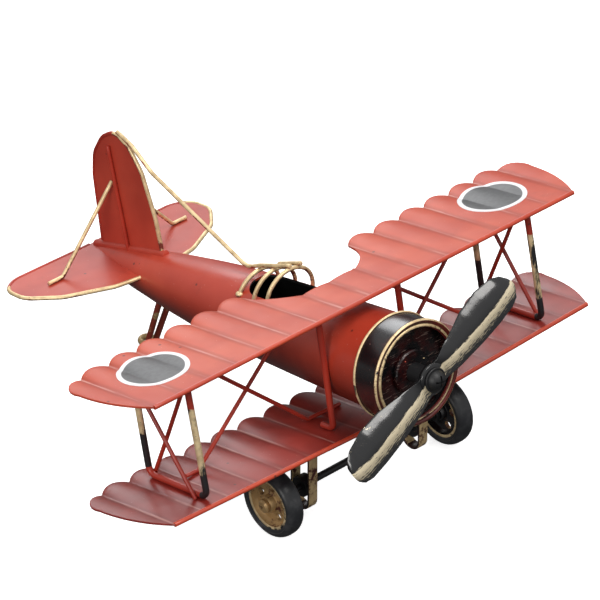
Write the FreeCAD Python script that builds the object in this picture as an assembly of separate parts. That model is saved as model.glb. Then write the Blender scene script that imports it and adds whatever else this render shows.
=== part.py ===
import FreeCAD, Part
import math
import os

from FreeCAD import Vector

# Tin biplane ornament, millimetres and degrees.
#
# Two frames are used.  In the flight frame the fuselage axis is Y, the nose points along -Y, the port wing
# along +X and the origin is the centre of the cowl's front edge.  In the standing frame the model sits on its
# two wheels and its tail skid, nose up, with the ground at Z = 0.  Every piece is exported in the standing
# frame, moved along Y so that the origin is the bottom centre of the whole model.

# ---------------------------------------------------------------- stance
nose_up = 11.2
cowl_centre_height = 48.4

# ---------------------------------------------------------------- sheet and wire stock
tin = 0.6
thick_wire = 1.8
thin_wire = 1.15
rim_wire = 1.2
slip = 0.05               # radial running clearance on every turning fit
end_float = 0.12          # side play of a turning piece between its stops

# ---------------------------------------------------------------- fuselage
fuselage_length = 136.0
fuselage_radius = 13.3
fuselage_droop = 0.9      # the tube's axis falls this many degrees towards the tail
tail_radius = 2.3
cockpit_front = 39.0
cockpit_back = 61.0
cockpit_half_width = 6.2

# ---------------------------------------------------------------- cowl and engine face
cowl_depth = 8.1
cowl_wall = 0.9
fuselage_tuck = 4.6       # length of fuselage inside the cowl
engine_face_thickness = 1.0
bead_outer = 0.62
bead_inner = 0.55
bead_gap = 1.2            # between the two beads of the front ring
rear_bead = 0.45
boss_radius = 6.0
boss_thickness = 1.5

# ---------------------------------------------------------------- propeller and its screw
propeller_radius = 34.0
propeller_clock = 26.0    # port blade above the horizontal
blade_thickness = 1.1
blade_edge = 0.7
blade_tilt = 16.0         # the blades' faces lean up by this much
hub_radius = 4.4
hub_thickness = 1.6
hub_front = -6.9          # Y of the hub's front face
screw_radius = 1.5
screw_head_radius = 2.8
screw_head_height = 2.3
washer_radius = 3.4
washer_thickness = 0.6
spacer_radius = 2.6
nut_flats = 5.5
nut_thickness = 2.4

# ---------------------------------------------------------------- wings
wing_half_span = 80.4
scallops = 8              # whole scallops on each side of the centre
tip_reach = 6.5           # from the last cusp to the wing tip
wing_chord = 30.8         # leading edge to the cusps of the trailing edge
scallop_bulge = 2.0
flute_rise = 1.3
wing_fall = 1.9           # drop of the sheet from front to back
upper_lead_y = 13.6
upper_lead_z = 18.6
lower_lead_y = 13.1
lower_lead_z = -17.6
lower_dihedral = 1.9
hem_radius = 0.65
hem_bore = 0.35
notch_depth = 13.2
badge_radius = 9.6
badge_thickness = 0.15
badge_back = 18.0         # badge centre behind the leading edge

# ---------------------------------------------------------------- struts and braces
strut_crest = 6           # the outer struts stand on this flute, counted from the centre
strut_front_foot = 3.9    # behind the lower leading edge
strut_front_lean = 1.3
strut_back_foot = 27.5
strut_back_lean = 0.6
strut_bend = 2.2
brace_inset = (1.0, 2.6, 2.0, 1.6)   # crossed braces beside the legs: rising foot, top, falling top, foot
brace_sink = 1.5          # how deep the braces are drawn past the sheets before they are trimmed
cabane_back = 7.0         # behind the lower leading edge
cabane_foot = 4.5
bay_brace_back = 18.2

# ---------------------------------------------------------------- tail
fin_height = 39.5
tail_half_span = 34.0
tailplane_z = 0.3
tail_brace_top = 23.6
tail_brace_reach = 20.0
tail_brace_foot = 5.0

# ---------------------------------------------------------------- canopy wires
hoop_back = 60.0
hoop_pitch = 6.4
hoop_crown = 13.2
hoop_crown_step = 1.8
hoop_foot = 6.9
hoop_foot_step = 0.6
hoop_rake = 1.6           # the feet stand this far behind the crown
side_wire_x = 3.4
side_wire_tail = 2.2

# ---------------------------------------------------------------- landing gear
wheel_radius = 10.0
tyre_width = 5.6
rim_radius = 7.4
rim_width = 4.4
wheel_track = 61.6
wheel_y = 21.4            # behind the flight origin, along the ground
axle_radius = 1.0
hub_boss_radius = 2.4
cap_radius = 1.9
cap_thickness = 1.3
leg_track = 40.0
leg_width = 3.0
leg_strip = 0.8
leg_span = 7.5
leg_drop = 7.0            # the hairpin's bend below the axle
skid_ring_radius = 1.8
skid_y = 110.0

parts_folder = "parts"
X_AXIS, Y_AXIS, Z_AXIS = Vector(1, 0, 0), Vector(0, 1, 0), Vector(0, 0, 1)
ORIGIN = Vector(0, 0, 0)
FAR = 30.0                # reach of cutting tools past what they cut
SIDES = {"port": 1, "starboard": -1}


# ---------------------------------------------------------------- shape helpers
def droop(shape):
    """A shape made along the Y axis, turned about the cowl's front onto the tube's own axis."""
    turned_shape = shape.copy()
    turned_shape.rotate(ORIGIN, X_AXIS, -fuselage_droop)
    return turned_shape


def stand(shape):
    """A flight-frame shape, moved to the standing frame."""
    moved = shape.copy()
    moved.rotate(ORIGIN, X_AXIS, -nose_up)
    moved.translate(Vector(0, 0, cowl_centre_height))
    return moved


def stand_point(point):
    """A flight-frame point, moved to the standing frame."""
    turn = FreeCAD.Rotation(X_AXIS, -nose_up)
    return turn.multVec(point) + Vector(0, 0, cowl_centre_height)


def bent_edges(points, bend):
    """Straight runs through the points, each corner rounded by a tangent arc of up to the given radius."""
    edges, start = [], points[0]
    for before, corner, after in zip(points, points[1:], points[2:]):
        back, ahead = (before - corner).normalize(), (after - corner).normalize()
        half = back.getAngle(ahead) / 2
        room = 0.45 * min((before - corner).Length, (after - corner).Length)
        leg = min(bend / math.tan(half), room)
        radius = leg * math.tan(half)
        first, last = corner + back * leg, corner + ahead * leg
        middle = (back + ahead).normalize()
        crown = corner + middle * (radius / math.sin(half) - radius)
        edges.append(Part.LineSegment(start, first).toShape())
        edges.append(Part.Arc(first, crown, last).toShape())
        start = last
    edges.append(Part.LineSegment(start, points[-1]).toShape())
    return edges


def rod(points, diameter, bend=2.0):
    """A round wire bent along the points."""
    points = [Vector(*p) for p in points]
    path = Part.Wire(bent_edges(points, bend))
    ring = Part.Wire(Part.makeCircle(diameter / 2, points[0], points[1] - points[0]))
    return path.makePipeShell([ring], True, False)


def bowed_rod(start, middle, end, diameter):
    """A round wire along one arc through three points."""
    arc = Part.Arc(Vector(*start), Vector(*middle), Vector(*end)).toShape()
    ring = Part.Wire(Part.makeCircle(diameter / 2, Vector(*start), arc.tangentAt(arc.FirstParameter)))
    return Part.Wire(arc).makePipeShell([ring], True, False)


def disc(radius, length, y, bore=0.0):
    """A disc or tube along +Y from the given Y."""
    body = Part.makeCylinder(radius, length, Vector(0, y, 0), Y_AXIS)
    if bore:
        body = body.cut(Part.makeCylinder(bore, length + 2, Vector(0, y - 1, 0), Y_AXIS))
    return body


def plate(points, bend, normal, thickness):
    """A flat sheet with rounded corners; the outline closes with a straight line, and is centred on its plane."""
    points = [Vector(*p) for p in points]
    edges = bent_edges(points, bend) + [Part.LineSegment(points[-1], points[0]).toShape()]
    face = Part.Face(Part.Wire(edges))
    face.translate(normal * (-thickness / 2))
    return face.extrude(normal * thickness)


def across(shape):
    """The same shape on the other side of the model."""
    return shape.mirror(ORIGIN, X_AXIS)


# ---------------------------------------------------------------- fuselage
FUSELAGE_TAPER = [(0.0, 1.0), (0.15, 0.958), (0.50, 0.815), (0.68, 0.64), (0.77, 0.52), (0.86, 0.395)]


def fuselage_stations():
    """Outer radius along the tube as (y, radius) points."""
    taper_length = fuselage_length - cowl_depth
    rows = [(cowl_depth + share * taper_length, scale * fuselage_radius) for share, scale in FUSELAGE_TAPER]
    return rows + [(fuselage_length, tail_radius)]


def fuselage_profile(wall, end):
    """The stations less the wall, stopping at the given end."""
    kept = [(y, radius - wall) for y, radius in fuselage_stations() if y < end]
    return kept + [(end, fuselage_half_depth(end) - wall)]


def fuselage_half_depth(y):
    """Outer radius of the tube at a distance behind the cowl's front edge, read between stations."""
    rows = fuselage_stations()
    for (y0, r0), (y1, r1) in zip(rows, rows[1:]):
        if y <= y1:
            return r0 + (r1 - r0) * max(0.0, y - y0) / (y1 - y0)
    return tail_radius


def fuselage_centre(y):
    """Height of the tube's axis at a distance behind the cowl's front edge."""
    return -math.tan(math.radians(fuselage_droop)) * y


def fuselage_body(wall, start, end):
    """The tube's solid inside the given wall."""
    rows = fuselage_profile(wall, end)
    curve = Part.BSplineCurve()
    curve.interpolate([Vector(radius, y, 0) for y, radius in rows])
    front, back = rows[0], rows[-1]
    edges = [
        Part.LineSegment(Vector(0, start, 0), Vector(front[1], start, 0)).toShape(),
        Part.LineSegment(Vector(front[1], start, 0), Vector(front[1], front[0], 0)).toShape(),
        curve.toShape(),
        Part.LineSegment(Vector(back[1], back[0], 0), Vector(0, back[0], 0)).toShape(),
        Part.LineSegment(Vector(0, back[0], 0), Vector(0, start, 0)).toShape(),
    ]
    return Part.Face(Part.Wire(edges)).revolve(ORIGIN, Y_AXIS, 360)


def cockpit_cutter():
    """The long rounded opening in the top of the tube."""
    middle = (cockpit_front + cockpit_back) / 2
    reach = (cockpit_back - cockpit_front) / 2
    corner = min(cockpit_half_width, reach) * 0.8
    block = Part.makeBox(2 * cockpit_half_width, 2 * reach, FAR,
                         Vector(-cockpit_half_width, middle - reach, 0))
    upright = [edge for edge in block.Edges if edge.tangentAt(0).isEqual(Z_AXIS, 0.01)
               or edge.tangentAt(0).isEqual(-Z_AXIS, 0.01)]
    return block.makeFillet(corner, upright)


def build_fuselage():
    outer = fuselage_body(0.0, cowl_depth - fuselage_tuck, fuselage_length)
    inner = fuselage_body(tin, cowl_depth - fuselage_tuck - 1, fuselage_length - 5)
    return outer, outer.cut(inner).cut(cockpit_cutter())


# ---------------------------------------------------------------- cowl, engine face and propeller shaft
def build_cowl():
    outer = fuselage_radius + cowl_wall
    outer_bead = outer - 0.15
    inner_bead = outer_bead - bead_gap
    ring = Part.makeTorus(outer_bead, bead_outer, ORIGIN, Y_AXIS)
    ring = ring.fuse(Part.makeTorus(inner_bead, bead_inner, ORIGIN, Y_AXIS))
    ring = ring.fuse(disc(outer_bead, 0.5, -0.25, inner_bead)).removeSplitter()
    rear = Part.makeTorus(outer, rear_bead, Vector(0, cowl_depth, 0), Y_AXIS)
    drum = disc(outer, cowl_depth - rear_bead - bead_outer, bead_outer, fuselage_radius)
    face_y = cowl_depth - fuselage_tuck - engine_face_thickness
    face = disc(fuselage_radius, engine_face_thickness, face_y, screw_radius)
    boss = disc(boss_radius, boss_thickness, face_y - boss_thickness, screw_radius)
    return {"cowl_front_ring": ring, "cowl_rear_rim": rear, "cowl_drum": drum,
            "engine_face": face, "engine_boss": boss}


def blade_section(x, below, above, camber, tilt):
    """A thin bowed section across the blade, hollow at the back, at a distance from the hub."""
    edge, thin, middle = blade_edge / 2, blade_thickness / 2, (above - below) / 2
    front = Part.Arc(Vector(x, -edge, -below), Vector(x, -camber - thin, middle), Vector(x, -edge, above))
    back = Part.Arc(Vector(x, edge, above), Vector(x, thin - camber, middle), Vector(x, edge, -below))
    upper = Part.LineSegment(Vector(x, -edge, above), Vector(x, edge, above))
    lower = Part.LineSegment(Vector(x, edge, -below), Vector(x, -edge, -below))
    wire = Part.Wire([front.toShape(), upper.toShape(), back.toShape(), lower.toShape()])
    wire.rotate(Vector(x, 0, 0), X_AXIS, tilt)
    return wire


# One blade, from hub to tip: share of the radius, reach below and above the blade's axis, camber, share of tilt.
BLADE_SHAPE = [(0.13, 3.5, 3.5, 0.5, 0.3), (0.30, 4.0, 4.3, 1.3, 0.7), (0.52, 4.5, 6.1, 2.0, 1.0),
               (0.72, 4.7, 6.5, 2.1, 1.0), (0.88, 4.5, 5.4, 1.8, 1.0), (0.97, 3.6, 3.7, 1.2, 1.0),
               (1.0, 2.2, 2.2, 0.7, 1.0)]


def build_propeller():
    """One pressed strip with a bored hub; both blades belly upwards and lean the same way."""
    sections = [blade_section(-share * propeller_radius, below, above, camber, -part * blade_tilt)
                for share, below, above, camber, part in reversed(BLADE_SHAPE)]
    sections += [blade_section(share * propeller_radius, below, above, camber, -part * blade_tilt)
                 for share, below, above, camber, part in BLADE_SHAPE]
    blades = Part.makeLoft(sections, True, False)
    blades.translate(Vector(0, hub_front + hub_thickness / 2, 0))
    hub = disc(hub_radius, hub_thickness, hub_front)
    reach = blades.BoundBox
    past = Part.makeBox(2 * hub_radius, reach.YLength, 2 * hub_radius,
                        Vector(-hub_radius, reach.YMin - reach.YLength + hub_front - reach.YMin, -hub_radius))
    whole = blades.cut(past).fuse(hub).cut(disc(screw_radius + slip, FAR, hub_front - 5))
    whole.rotate(ORIGIN, Y_AXIS, -propeller_clock)
    return whole


def cross_recess(y, depth):
    """Two crossed slots in a screw head."""
    long, narrow = screw_head_radius * 1.1, 0.5
    slot = Part.makeBox(long, depth + 1, narrow, Vector(-long / 2, y - 1, -narrow / 2))
    turned_slot = slot.copy()
    turned_slot.rotate(Vector(0, y, 0), Y_AXIS, 90)
    return slot.fuse(turned_slot)


def build_shaft():
    """The fixed screw that the propeller turns on, with its washer, spacer and nut."""
    washer_y = hub_front - end_float - washer_thickness
    head_y = washer_y - screw_head_height
    face_back = cowl_depth - fuselage_tuck
    boss_front = face_back - engine_face_thickness - boss_thickness
    shank_end = face_back + nut_thickness + 1.2
    dome_radius = (screw_head_radius ** 2 + screw_head_height ** 2) / (2 * screw_head_height)
    head = Part.makeSphere(dome_radius, Vector(0, head_y + dome_radius, 0))
    head = head.common(disc(screw_head_radius, screw_head_height, head_y))
    screw = head.fuse(disc(screw_radius, shank_end - washer_y, washer_y)).cut(cross_recess(head_y, 1.0))
    washer = disc(washer_radius, washer_thickness, washer_y, screw_radius)
    hub_back = hub_front + hub_thickness + end_float
    spacer = disc(spacer_radius, boss_front - hub_back, hub_back, screw_radius)
    hexagon = [Vector(nut_flats / math.sqrt(3) * math.cos(math.radians(60 * i)), face_back,
                      nut_flats / math.sqrt(3) * math.sin(math.radians(60 * i))) for i in range(7)]
    nut = Part.Face(Part.makePolygon(hexagon)).extrude(Vector(0, nut_thickness, 0))
    nut = nut.cut(disc(screw_radius, nut_thickness + 2, face_back - 1))
    return {"propeller_screw": screw, "propeller_washer": washer, "propeller_spacer": spacer, "propeller_nut": nut}


# ---------------------------------------------------------------- wings
class Wing:
    """A tin wing: flat along its hemmed leading edge, fluted and scalloped along its trailing edge."""

    def __init__(self, lead_y, lead_z, dihedral, notched):
        self.lead_y, self.lead_z = lead_y, lead_z
        self.slope = math.tan(math.radians(dihedral))
        self.notched = notched
        self.pitch = (wing_half_span - tip_reach) / scallops
        self.cusp_y = lead_y + wing_chord
        self.back_y = self.cusp_y + scallop_bulge + 1.5

    def crest(self, flute):
        """Distance from the centre to the crest of a flute, counted from 0."""
        return (flute + 0.5) * self.pitch

    def height(self, x, y):
        """Height of the top of the sheet."""
        share = (y - self.lead_y) / (self.back_y - self.lead_y)
        radius = (self.pitch ** 2 / 4 + flute_rise ** 2) / (2 * flute_rise)
        from_crest = abs(abs(x) % self.pitch - self.pitch / 2)
        bump = flute_rise - radius + math.sqrt(radius ** 2 - from_crest ** 2)
        return self.lead_z + abs(x) * self.slope + share * (bump - wing_fall)

    def rib(self, y, low, high, rise, fall):
        """The closed outline of a slab across the span at one place along the chord."""
        stops = range(-scallops - 1, scallops + 2)

        def line(offset):
            at = {k: Vector(k * self.pitch, y, self.lead_z + abs(k) * self.pitch * self.slope - fall + offset)
                  for k in stops}
            edges = []
            for k in stops[:-1]:
                top = (at[k] + at[k + 1]) / 2 + Vector(0, 0, rise)
                flute = Part.Arc(at[k], top, at[k + 1]) if rise else Part.LineSegment(at[k], at[k + 1])
                edges.append(flute.toShape())
            return edges, at[stops[0]], at[stops[-1]]

        upper, upper_left, upper_right = line(high)
        lower, lower_left, lower_right = line(low)
        ends = [Part.LineSegment(upper_right, lower_right).toShape(),
                Part.LineSegment(lower_left, upper_left).toShape()]
        return Part.Wire(Part.__sortEdges__(upper + lower + ends))

    def slab(self, low, high):
        """The space between two heights above the sheet's top, all over the span and chord."""
        front = self.rib(self.lead_y, low, high, 0.0, 0.0)
        back = self.rib(self.back_y, low, high, flute_rise, wing_fall)
        return Part.makeLoft([front, back], True, True)

    def outline(self):
        """The wing's plan, as an upright prism."""
        corner, cusp_y, pitch = scallops * self.pitch, self.cusp_y, self.pitch
        chord = wing_chord
        lead = self.lead_y + hem_radius
        tip = wing_half_span
        edges = [Part.Arc(Vector(corner, lead, 0), Vector(tip - 1.5, lead + 0.39 * chord, 0),
                          Vector(tip, lead + 0.74 * chord, 0)).toShape(),
                 Part.Arc(Vector(tip, lead + 0.74 * chord, 0), Vector(tip - 1.7, lead + 0.94 * chord, 0),
                          Vector(corner, cusp_y, 0)).toShape()]
        last = 2 if self.notched else 0
        for k in range(scallops, last, -1):
            edges.append(Part.Arc(Vector(k * pitch, cusp_y, 0), Vector((k - 0.5) * pitch, cusp_y + scallop_bulge, 0),
                                  Vector((k - 1) * pitch, cusp_y, 0)).toShape())
        if self.notched:
            floor_y = cusp_y - notch_depth
            edges.append(Part.Arc(Vector(2 * pitch, cusp_y, 0), Vector(1.68 * pitch, cusp_y - 0.62 * notch_depth, 0),
                                  Vector(pitch, floor_y, 0)).toShape())
            edges.append(Part.LineSegment(Vector(pitch, floor_y, 0), Vector(0, floor_y, 0)).toShape())
        other = [across(edge) for edge in edges]
        front = Part.LineSegment(Vector(-corner, lead, 0), Vector(corner, lead, 0)).toShape()
        face = Part.Face(Part.Wire(Part.__sortEdges__(edges + other + [front])))
        face.translate(Vector(0, 0, -3 * FAR))
        return face.extrude(Vector(0, 0, 6 * FAR))

    def hem(self):
        """The rolled leading edge, a tube from tip to tip."""
        corner = scallops * self.pitch
        middle = Vector(0, self.lead_y + hem_radius, self.lead_z - tin / 2)
        tube = Part.makeSphere(hem_radius, middle)
        for side in SIDES.values():
            along = Vector(side * corner, 0, corner * self.slope)
            tube = tube.fuse(Part.makeCylinder(hem_radius, along.Length, middle, along))
        for side in SIDES.values():
            along = Vector(side * corner, 0, corner * self.slope)
            mouth = middle + along
            tube = tube.cut(Part.makeCylinder(hem_bore, 3.0, mouth, -along))
        return tube

    def sheet(self):
        """The whole wing."""
        return self.slab(-tin, 0.0).common(self.outline()).fuse(self.hem())

    def badge(self, side):
        """A round badge that lies on the flutes."""
        centre = Vector(side * self.crest(strut_crest), self.lead_y + badge_back, -FAR)
        return self.slab(0.0, badge_thickness).common(Part.makeCylinder(badge_radius, 3 * FAR, centre))


# ---------------------------------------------------------------- struts and braces
def build_struts(upper, lower, fuselage_outer):
    """Outer strut frames, their crossed braces, the bay braces and the cabane struts, for both sides."""
    above = upper.slab(-tin, FAR)
    below = lower.slab(-FAR, 0.0)
    pieces = {}

    def between(shape):
        return shape.cut(above).cut(below)

    crest = lower.crest(strut_crest)
    thick, thin = thick_wire / 2, thin_wire / 2
    front_y = lower.lead_y + strut_front_foot
    back_y = lower.lead_y + strut_back_foot
    top = upper.lead_z + 1.0
    foot_front = lower.height(crest, front_y) + thick
    foot_back = lower.height(crest, back_y) + thick
    frame = rod([(crest, front_y + strut_front_lean, top), (crest, front_y, foot_front),
                 (crest, back_y, foot_back), (crest, back_y + strut_back_lean, top)], thick_wire, strut_bend)
    beside = thick + thin
    low = lower.lead_z - brace_sink
    rising_foot, rising_top, falling_top, falling_foot = brace_inset
    rising = rod([(crest + beside, front_y + rising_foot, low), (crest + beside, back_y + rising_top, top)], thin_wire)
    falling = rod([(crest - beside, front_y + falling_top, top), (crest - beside, back_y + falling_foot, low)],
                  thin_wire)

    def bay_brace(top_x, foot_x, end_x, y):
        foot_z = lower.height(foot_x, y) + thin
        end_z = foot_z + (abs(end_x) - abs(foot_x)) * lower.slope
        return rod([(top_x, y, top), (foot_x, y, foot_z), (end_x, y, end_z)], thin_wire, 1.2)

    bay_y = lower.lead_y + bay_brace_back
    outward = bay_brace(upper.pitch, lower.crest(5), lower.crest(5) + 4.2, bay_y + thin)
    inward = bay_brace(upper.crest(5), lower.crest(1), 2.5, bay_y - thin - 0.02)

    cabane_y = lower.lead_y + cabane_back
    cabane_x = fuselage_half_depth(cabane_y) + thick
    cabane_end = cabane_y + cabane_foot
    cabane = rod([(cabane_x, cabane_y, top), (cabane_x, cabane_y, lower.height(cabane_x, cabane_y) + thick),
                  (cabane_x, cabane_end, lower.height(cabane_x, cabane_end) + thick)], thick_wire, 1.5)
    cabane = cabane.cut(fuselage_outer)

    right_hand = {"outer_strut": frame, "outer_brace_rising": rising, "outer_brace_falling": falling,
                  "bay_brace_outward": outward, "bay_brace_inward": inward,
                  "cabane_strut": cabane}
    for name, shape in right_hand.items():
        trimmed = between(shape)
        pieces[name + "_port"] = trimmed
        pieces[name + "_starboard"] = across(trimmed)
    return pieces


# ---------------------------------------------------------------- tail
def build_tail(fuselage_outer):
    """Fin, tailplane, their rim wires, the fin's ribs and the braces between them."""
    end = fuselage_length
    root = fuselage_centre(end) + 1.0
    fin_path = [(0, end - 33.3, root), (0, end - 32.1, 0.42 * fin_height), (0, end - 29.2, 0.75 * fin_height),
                (0, end - 25.2, 0.92 * fin_height), (0, end - 19.6, fin_height + 0.3),
                (0, end - 13.4, 0.93 * fin_height), (0, end - 8.6, 0.78 * fin_height),
                (0, end - 6.8, 0.6 * fin_height), (0, end - 5.5, root)]
    fin_bend = 9.0
    fin_rim = rod(fin_path, rim_wire, fin_bend).cut(fuselage_outer)
    fin = plate(fin_path, fin_bend, X_AXIS, tin).cut(fuselage_outer).cut(fin_rim)
    rib_x = tin / 2 + thin_wire / 2
    rib = rod([(rib_x, end - 18.3, root), (rib_x, end - 16.4, fin_height - 4.6)], thin_wire).cut(fuselage_outer)

    tail_path = [(1.5, end - 30.6, tailplane_z), (14, end - 28.2, tailplane_z), (27, end - 20.8, tailplane_z),
                 (tail_half_span, end - 12.0, tailplane_z), (tail_half_span - 0.3, end - 4.0, tailplane_z),
                 (tail_half_span - 5.0, end - 0.4, tailplane_z), (1.5, end - 0.8, tailplane_z)]
    tail_bend = 8.0
    tail_rim = rod(tail_path, rim_wire, tail_bend).cut(fuselage_outer)
    half = plate(tail_path, tail_bend, Z_AXIS, tin)
    bridge = Part.makeBox(4.0, 28.0, tin, Vector(-2.0, end - 30.0, tailplane_z - tin / 2))
    tailplane = half.fuse(across(half)).fuse(bridge).removeSplitter().cut(tail_rim).cut(across(tail_rim))

    top = tailplane_z + tin / 2 + thin_wire / 2
    brace = rod([(tin / 2, end - 15.0, tail_brace_top), (tail_brace_reach, end - 12.0, top),
                 (tail_brace_reach + tail_brace_foot, end - 12.0, top)], thin_wire, 1.2).cut(rib)
    brace = brace.cut(Part.makeBox(FAR, 4 * FAR, 4 * FAR, Vector(-FAR + tin / 2, end - 2 * FAR, -2 * FAR)))
    fin, fin_rim, rib = fin.cut(tailplane), fin_rim.cut(tailplane), rib.cut(tailplane)
    ribs = Part.makeCompound([rib, across(rib)])
    return {"fin": fin, "fin_edge_wire": fin_rim, "fin_rib_wires": ribs, "tailplane": tailplane,
            "tailplane_edge_wire_port": tail_rim, "tailplane_edge_wire_starboard": across(tail_rim),
            "tail_brace_port": brace, "tail_brace_starboard": across(brace)}


# ---------------------------------------------------------------- canopy
HOOP_NAMES = ["back", "middle", "front"]


class Hoop:
    """One bowed wire over the cockpit, counted from the back."""

    def __init__(self, number):
        self.y = hoop_back - number * hoop_pitch
        self.crown = hoop_crown + number * hoop_crown_step
        self.foot = hoop_foot + number * hoop_foot_step
        self.foot_z = fuselage_centre(self.y) + math.sqrt(fuselage_half_depth(self.y) ** 2 - self.foot ** 2) - tin

    def height(self, x):
        """Height of the wire's centre at a distance from the middle."""
        rise = self.crown - self.foot_z
        radius = (self.foot ** 2 + rise ** 2) / (2 * rise)
        return self.crown - radius + math.sqrt(radius ** 2 - x ** 2)

    def wire(self):
        """The hoop before it is trimmed to the fuselage."""
        foot_y = self.y + hoop_rake
        return bowed_rod((self.foot, foot_y, self.foot_z), (0, self.y, self.crown),
                         (-self.foot, foot_y, self.foot_z), rim_wire)


def build_canopy(fuselage_outer, fin_rim):
    """Three wire hoops over the cockpit, the long wire from the fin's top and a short side wire."""
    hoops = [Hoop(number) for number in range(3)]
    pieces = {}
    for hoop, name in zip(hoops, HOOP_NAMES):
        pieces["canopy_hoop_" + name] = hoop.wire().cut(fuselage_outer)
    end = fuselage_length
    middle, front = hoops[1], hoops[2]
    spine = rod([(0, end - 20.6, fin_height + 0.5), (0, end - 26.3, fin_height - 2.1),
                 (0, end - 33.8, fin_height - 8.6), (0, hoop_back + 5.5, hoop_crown - 0.9),
                 (0, hoop_back, hoop_crown + rim_wire), (0, front.y - 0.6, front.crown + rim_wire)], rim_wire, 6.0)
    spine = spine.cut(fin_rim).cut(fuselage_outer)
    rest = rim_wire * 0.97
    middle_z, front_z = middle.height(side_wire_x) + rest, front.height(side_wire_x) + rest
    climb = (front_z - middle_z) / hoop_pitch
    side_wire = rod([(side_wire_x, middle.y + side_wire_tail, middle_z - side_wire_tail * climb),
                     (side_wire_x, front.y - 1.0, front_z + climb)], rim_wire)
    for name in HOOP_NAMES:
        spine = spine.cut(pieces["canopy_hoop_" + name])
        side_wire = side_wire.cut(pieces["canopy_hoop_" + name])
    pieces["spine_wire"], pieces["canopy_side_wire"] = spine, side_wire
    return pieces


# ---------------------------------------------------------------- landing gear, in the standing frame
def build_gear(lower):
    """Hairpin legs, axle, bushes, caps, collars and both wheels."""
    ceiling = stand(lower.slab(-tin, FAR))
    half_track = wheel_track / 2
    axle_z = wheel_radius
    inner_gap = leg_span - 2 * leg_strip
    hub_half = rim_width / 2 + 0.4
    cap_start = half_track + hub_half + end_float
    axle_end = cap_start + cap_thickness * 0.7
    centre = Vector(0, wheel_y, axle_z)

    def along_x(radius, start, length, bore=0.0):
        at = Vector(start, wheel_y, axle_z)
        body = Part.makeCylinder(radius, length, at, X_AXIS)
        if bore:
            body = body.cut(Part.makeCylinder(bore, length + 2, at - X_AXIS, X_AXIS))
        return body

    bend_z = axle_z - leg_drop + leg_span / 2
    top_z = axle_z + FAR
    loop_outer, loop_inner = leg_span / 2, inner_gap / 2
    leg_x = leg_track / 2 - leg_width / 2

    def loop(half):
        base = Part.makeCylinder(half, leg_width, Vector(leg_x, wheel_y, bend_z), X_AXIS)
        return base.fuse(Part.makeBox(leg_width, 2 * half, top_z - bend_z, Vector(leg_x, wheel_y - half, bend_z)))

    leg = loop(loop_outer).cut(loop(loop_inner)).cut(ceiling)
    leg = max(leg.Solids, key=lambda solid: solid.Volume)
    bush = along_x(inner_gap / 2, leg_x, leg_width, axle_radius)
    axle = Part.makeCylinder(axle_radius, 2 * axle_end, centre - X_AXIS * axle_end, X_AXIS)
    cap = along_x(cap_radius, cap_start, cap_thickness).cut(axle)
    collar = along_x(cap_radius, half_track - hub_half - end_float - 1.2, 1.2, axle_radius)

    tyre_half = tyre_width / 2
    section = [Vector(half_track - rim_width / 2, wheel_y, axle_z + rim_radius),
               Vector(half_track - tyre_half, wheel_y, axle_z + (rim_radius + wheel_radius) / 2),
               Vector(half_track, wheel_y, axle_z + wheel_radius),
               Vector(half_track + tyre_half, wheel_y, axle_z + (rim_radius + wheel_radius) / 2),
               Vector(half_track + rim_width / 2, wheel_y, axle_z + rim_radius)]
    shoulder = 0.93
    left = section[1] + (section[2] - section[1]) * 0.5
    left.z = axle_z + wheel_radius * shoulder
    right = section[3] + (section[2] - section[3]) * 0.5
    right.z = left.z
    crown = Part.Arc(left, section[2], right).toShape()
    wall_left = Part.Arc(section[0], section[1], left).toShape()
    wall_right = Part.Arc(right, section[3], section[4]).toShape()
    floor = Part.LineSegment(section[4], section[0]).toShape()
    tyre = Part.Face(Part.Wire([wall_left, crown, wall_right, floor])).revolve(centre, X_AXIS, 360)

    rim = along_x(rim_radius, half_track - rim_width / 2, rim_width, rim_radius - 1.0)
    rim = rim.fuse(along_x(rim_radius - 0.5, half_track - 0.6, 1.2, axle_radius + slip))
    rim = rim.fuse(along_x(hub_boss_radius, half_track - hub_half, 2 * hub_half, axle_radius + slip))
    slot_count = 5
    for number in range(slot_count):
        hole = Part.makeCylinder(1.15, 6, Vector(half_track - 3, wheel_y, axle_z + 4.4), X_AXIS)
        hole.rotate(centre, X_AXIS, 360 / slot_count * number)
        rim = rim.cut(hole)
    rim = rim.cut(Part.makeCylinder(axle_radius + slip, 20, Vector(half_track - 10, wheel_y, axle_z), X_AXIS))

    pieces = {"axle": axle}
    sided = {"gear_leg": leg, "axle_bush": bush, "axle_cap": cap, "axle_collar": collar, "tyre": tyre,
             "wheel_rim": rim}
    for name, shape in sided.items():
        pieces[name + "_port"] = shape
        pieces[name + "_starboard"] = across(shape)
    return pieces


def build_skid(fuselage_standing):
    """The tail skid: two legs and a flat eyelet that rests on the ground."""
    wire = thick_wire / 2
    eyelet = Part.makeTorus(skid_ring_radius, wire, Vector(0, skid_y, wire), Z_AXIS)
    top_flight = Vector(0, fuselage_length - 32.0, fuselage_centre(104.0) - 5.0)
    top = stand_point(top_flight)
    skid = eyelet
    for side in SIDES.values():
        foot = Vector(side * 1.5, skid_y - skid_ring_radius, wire + 0.1)
        head = Vector(side * 2.2, top.y, top.z)
        along = head - foot
        skid = skid.fuse(Part.makeCylinder(wire, along.Length, foot, along))
    return skid.cut(fuselage_standing)


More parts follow.
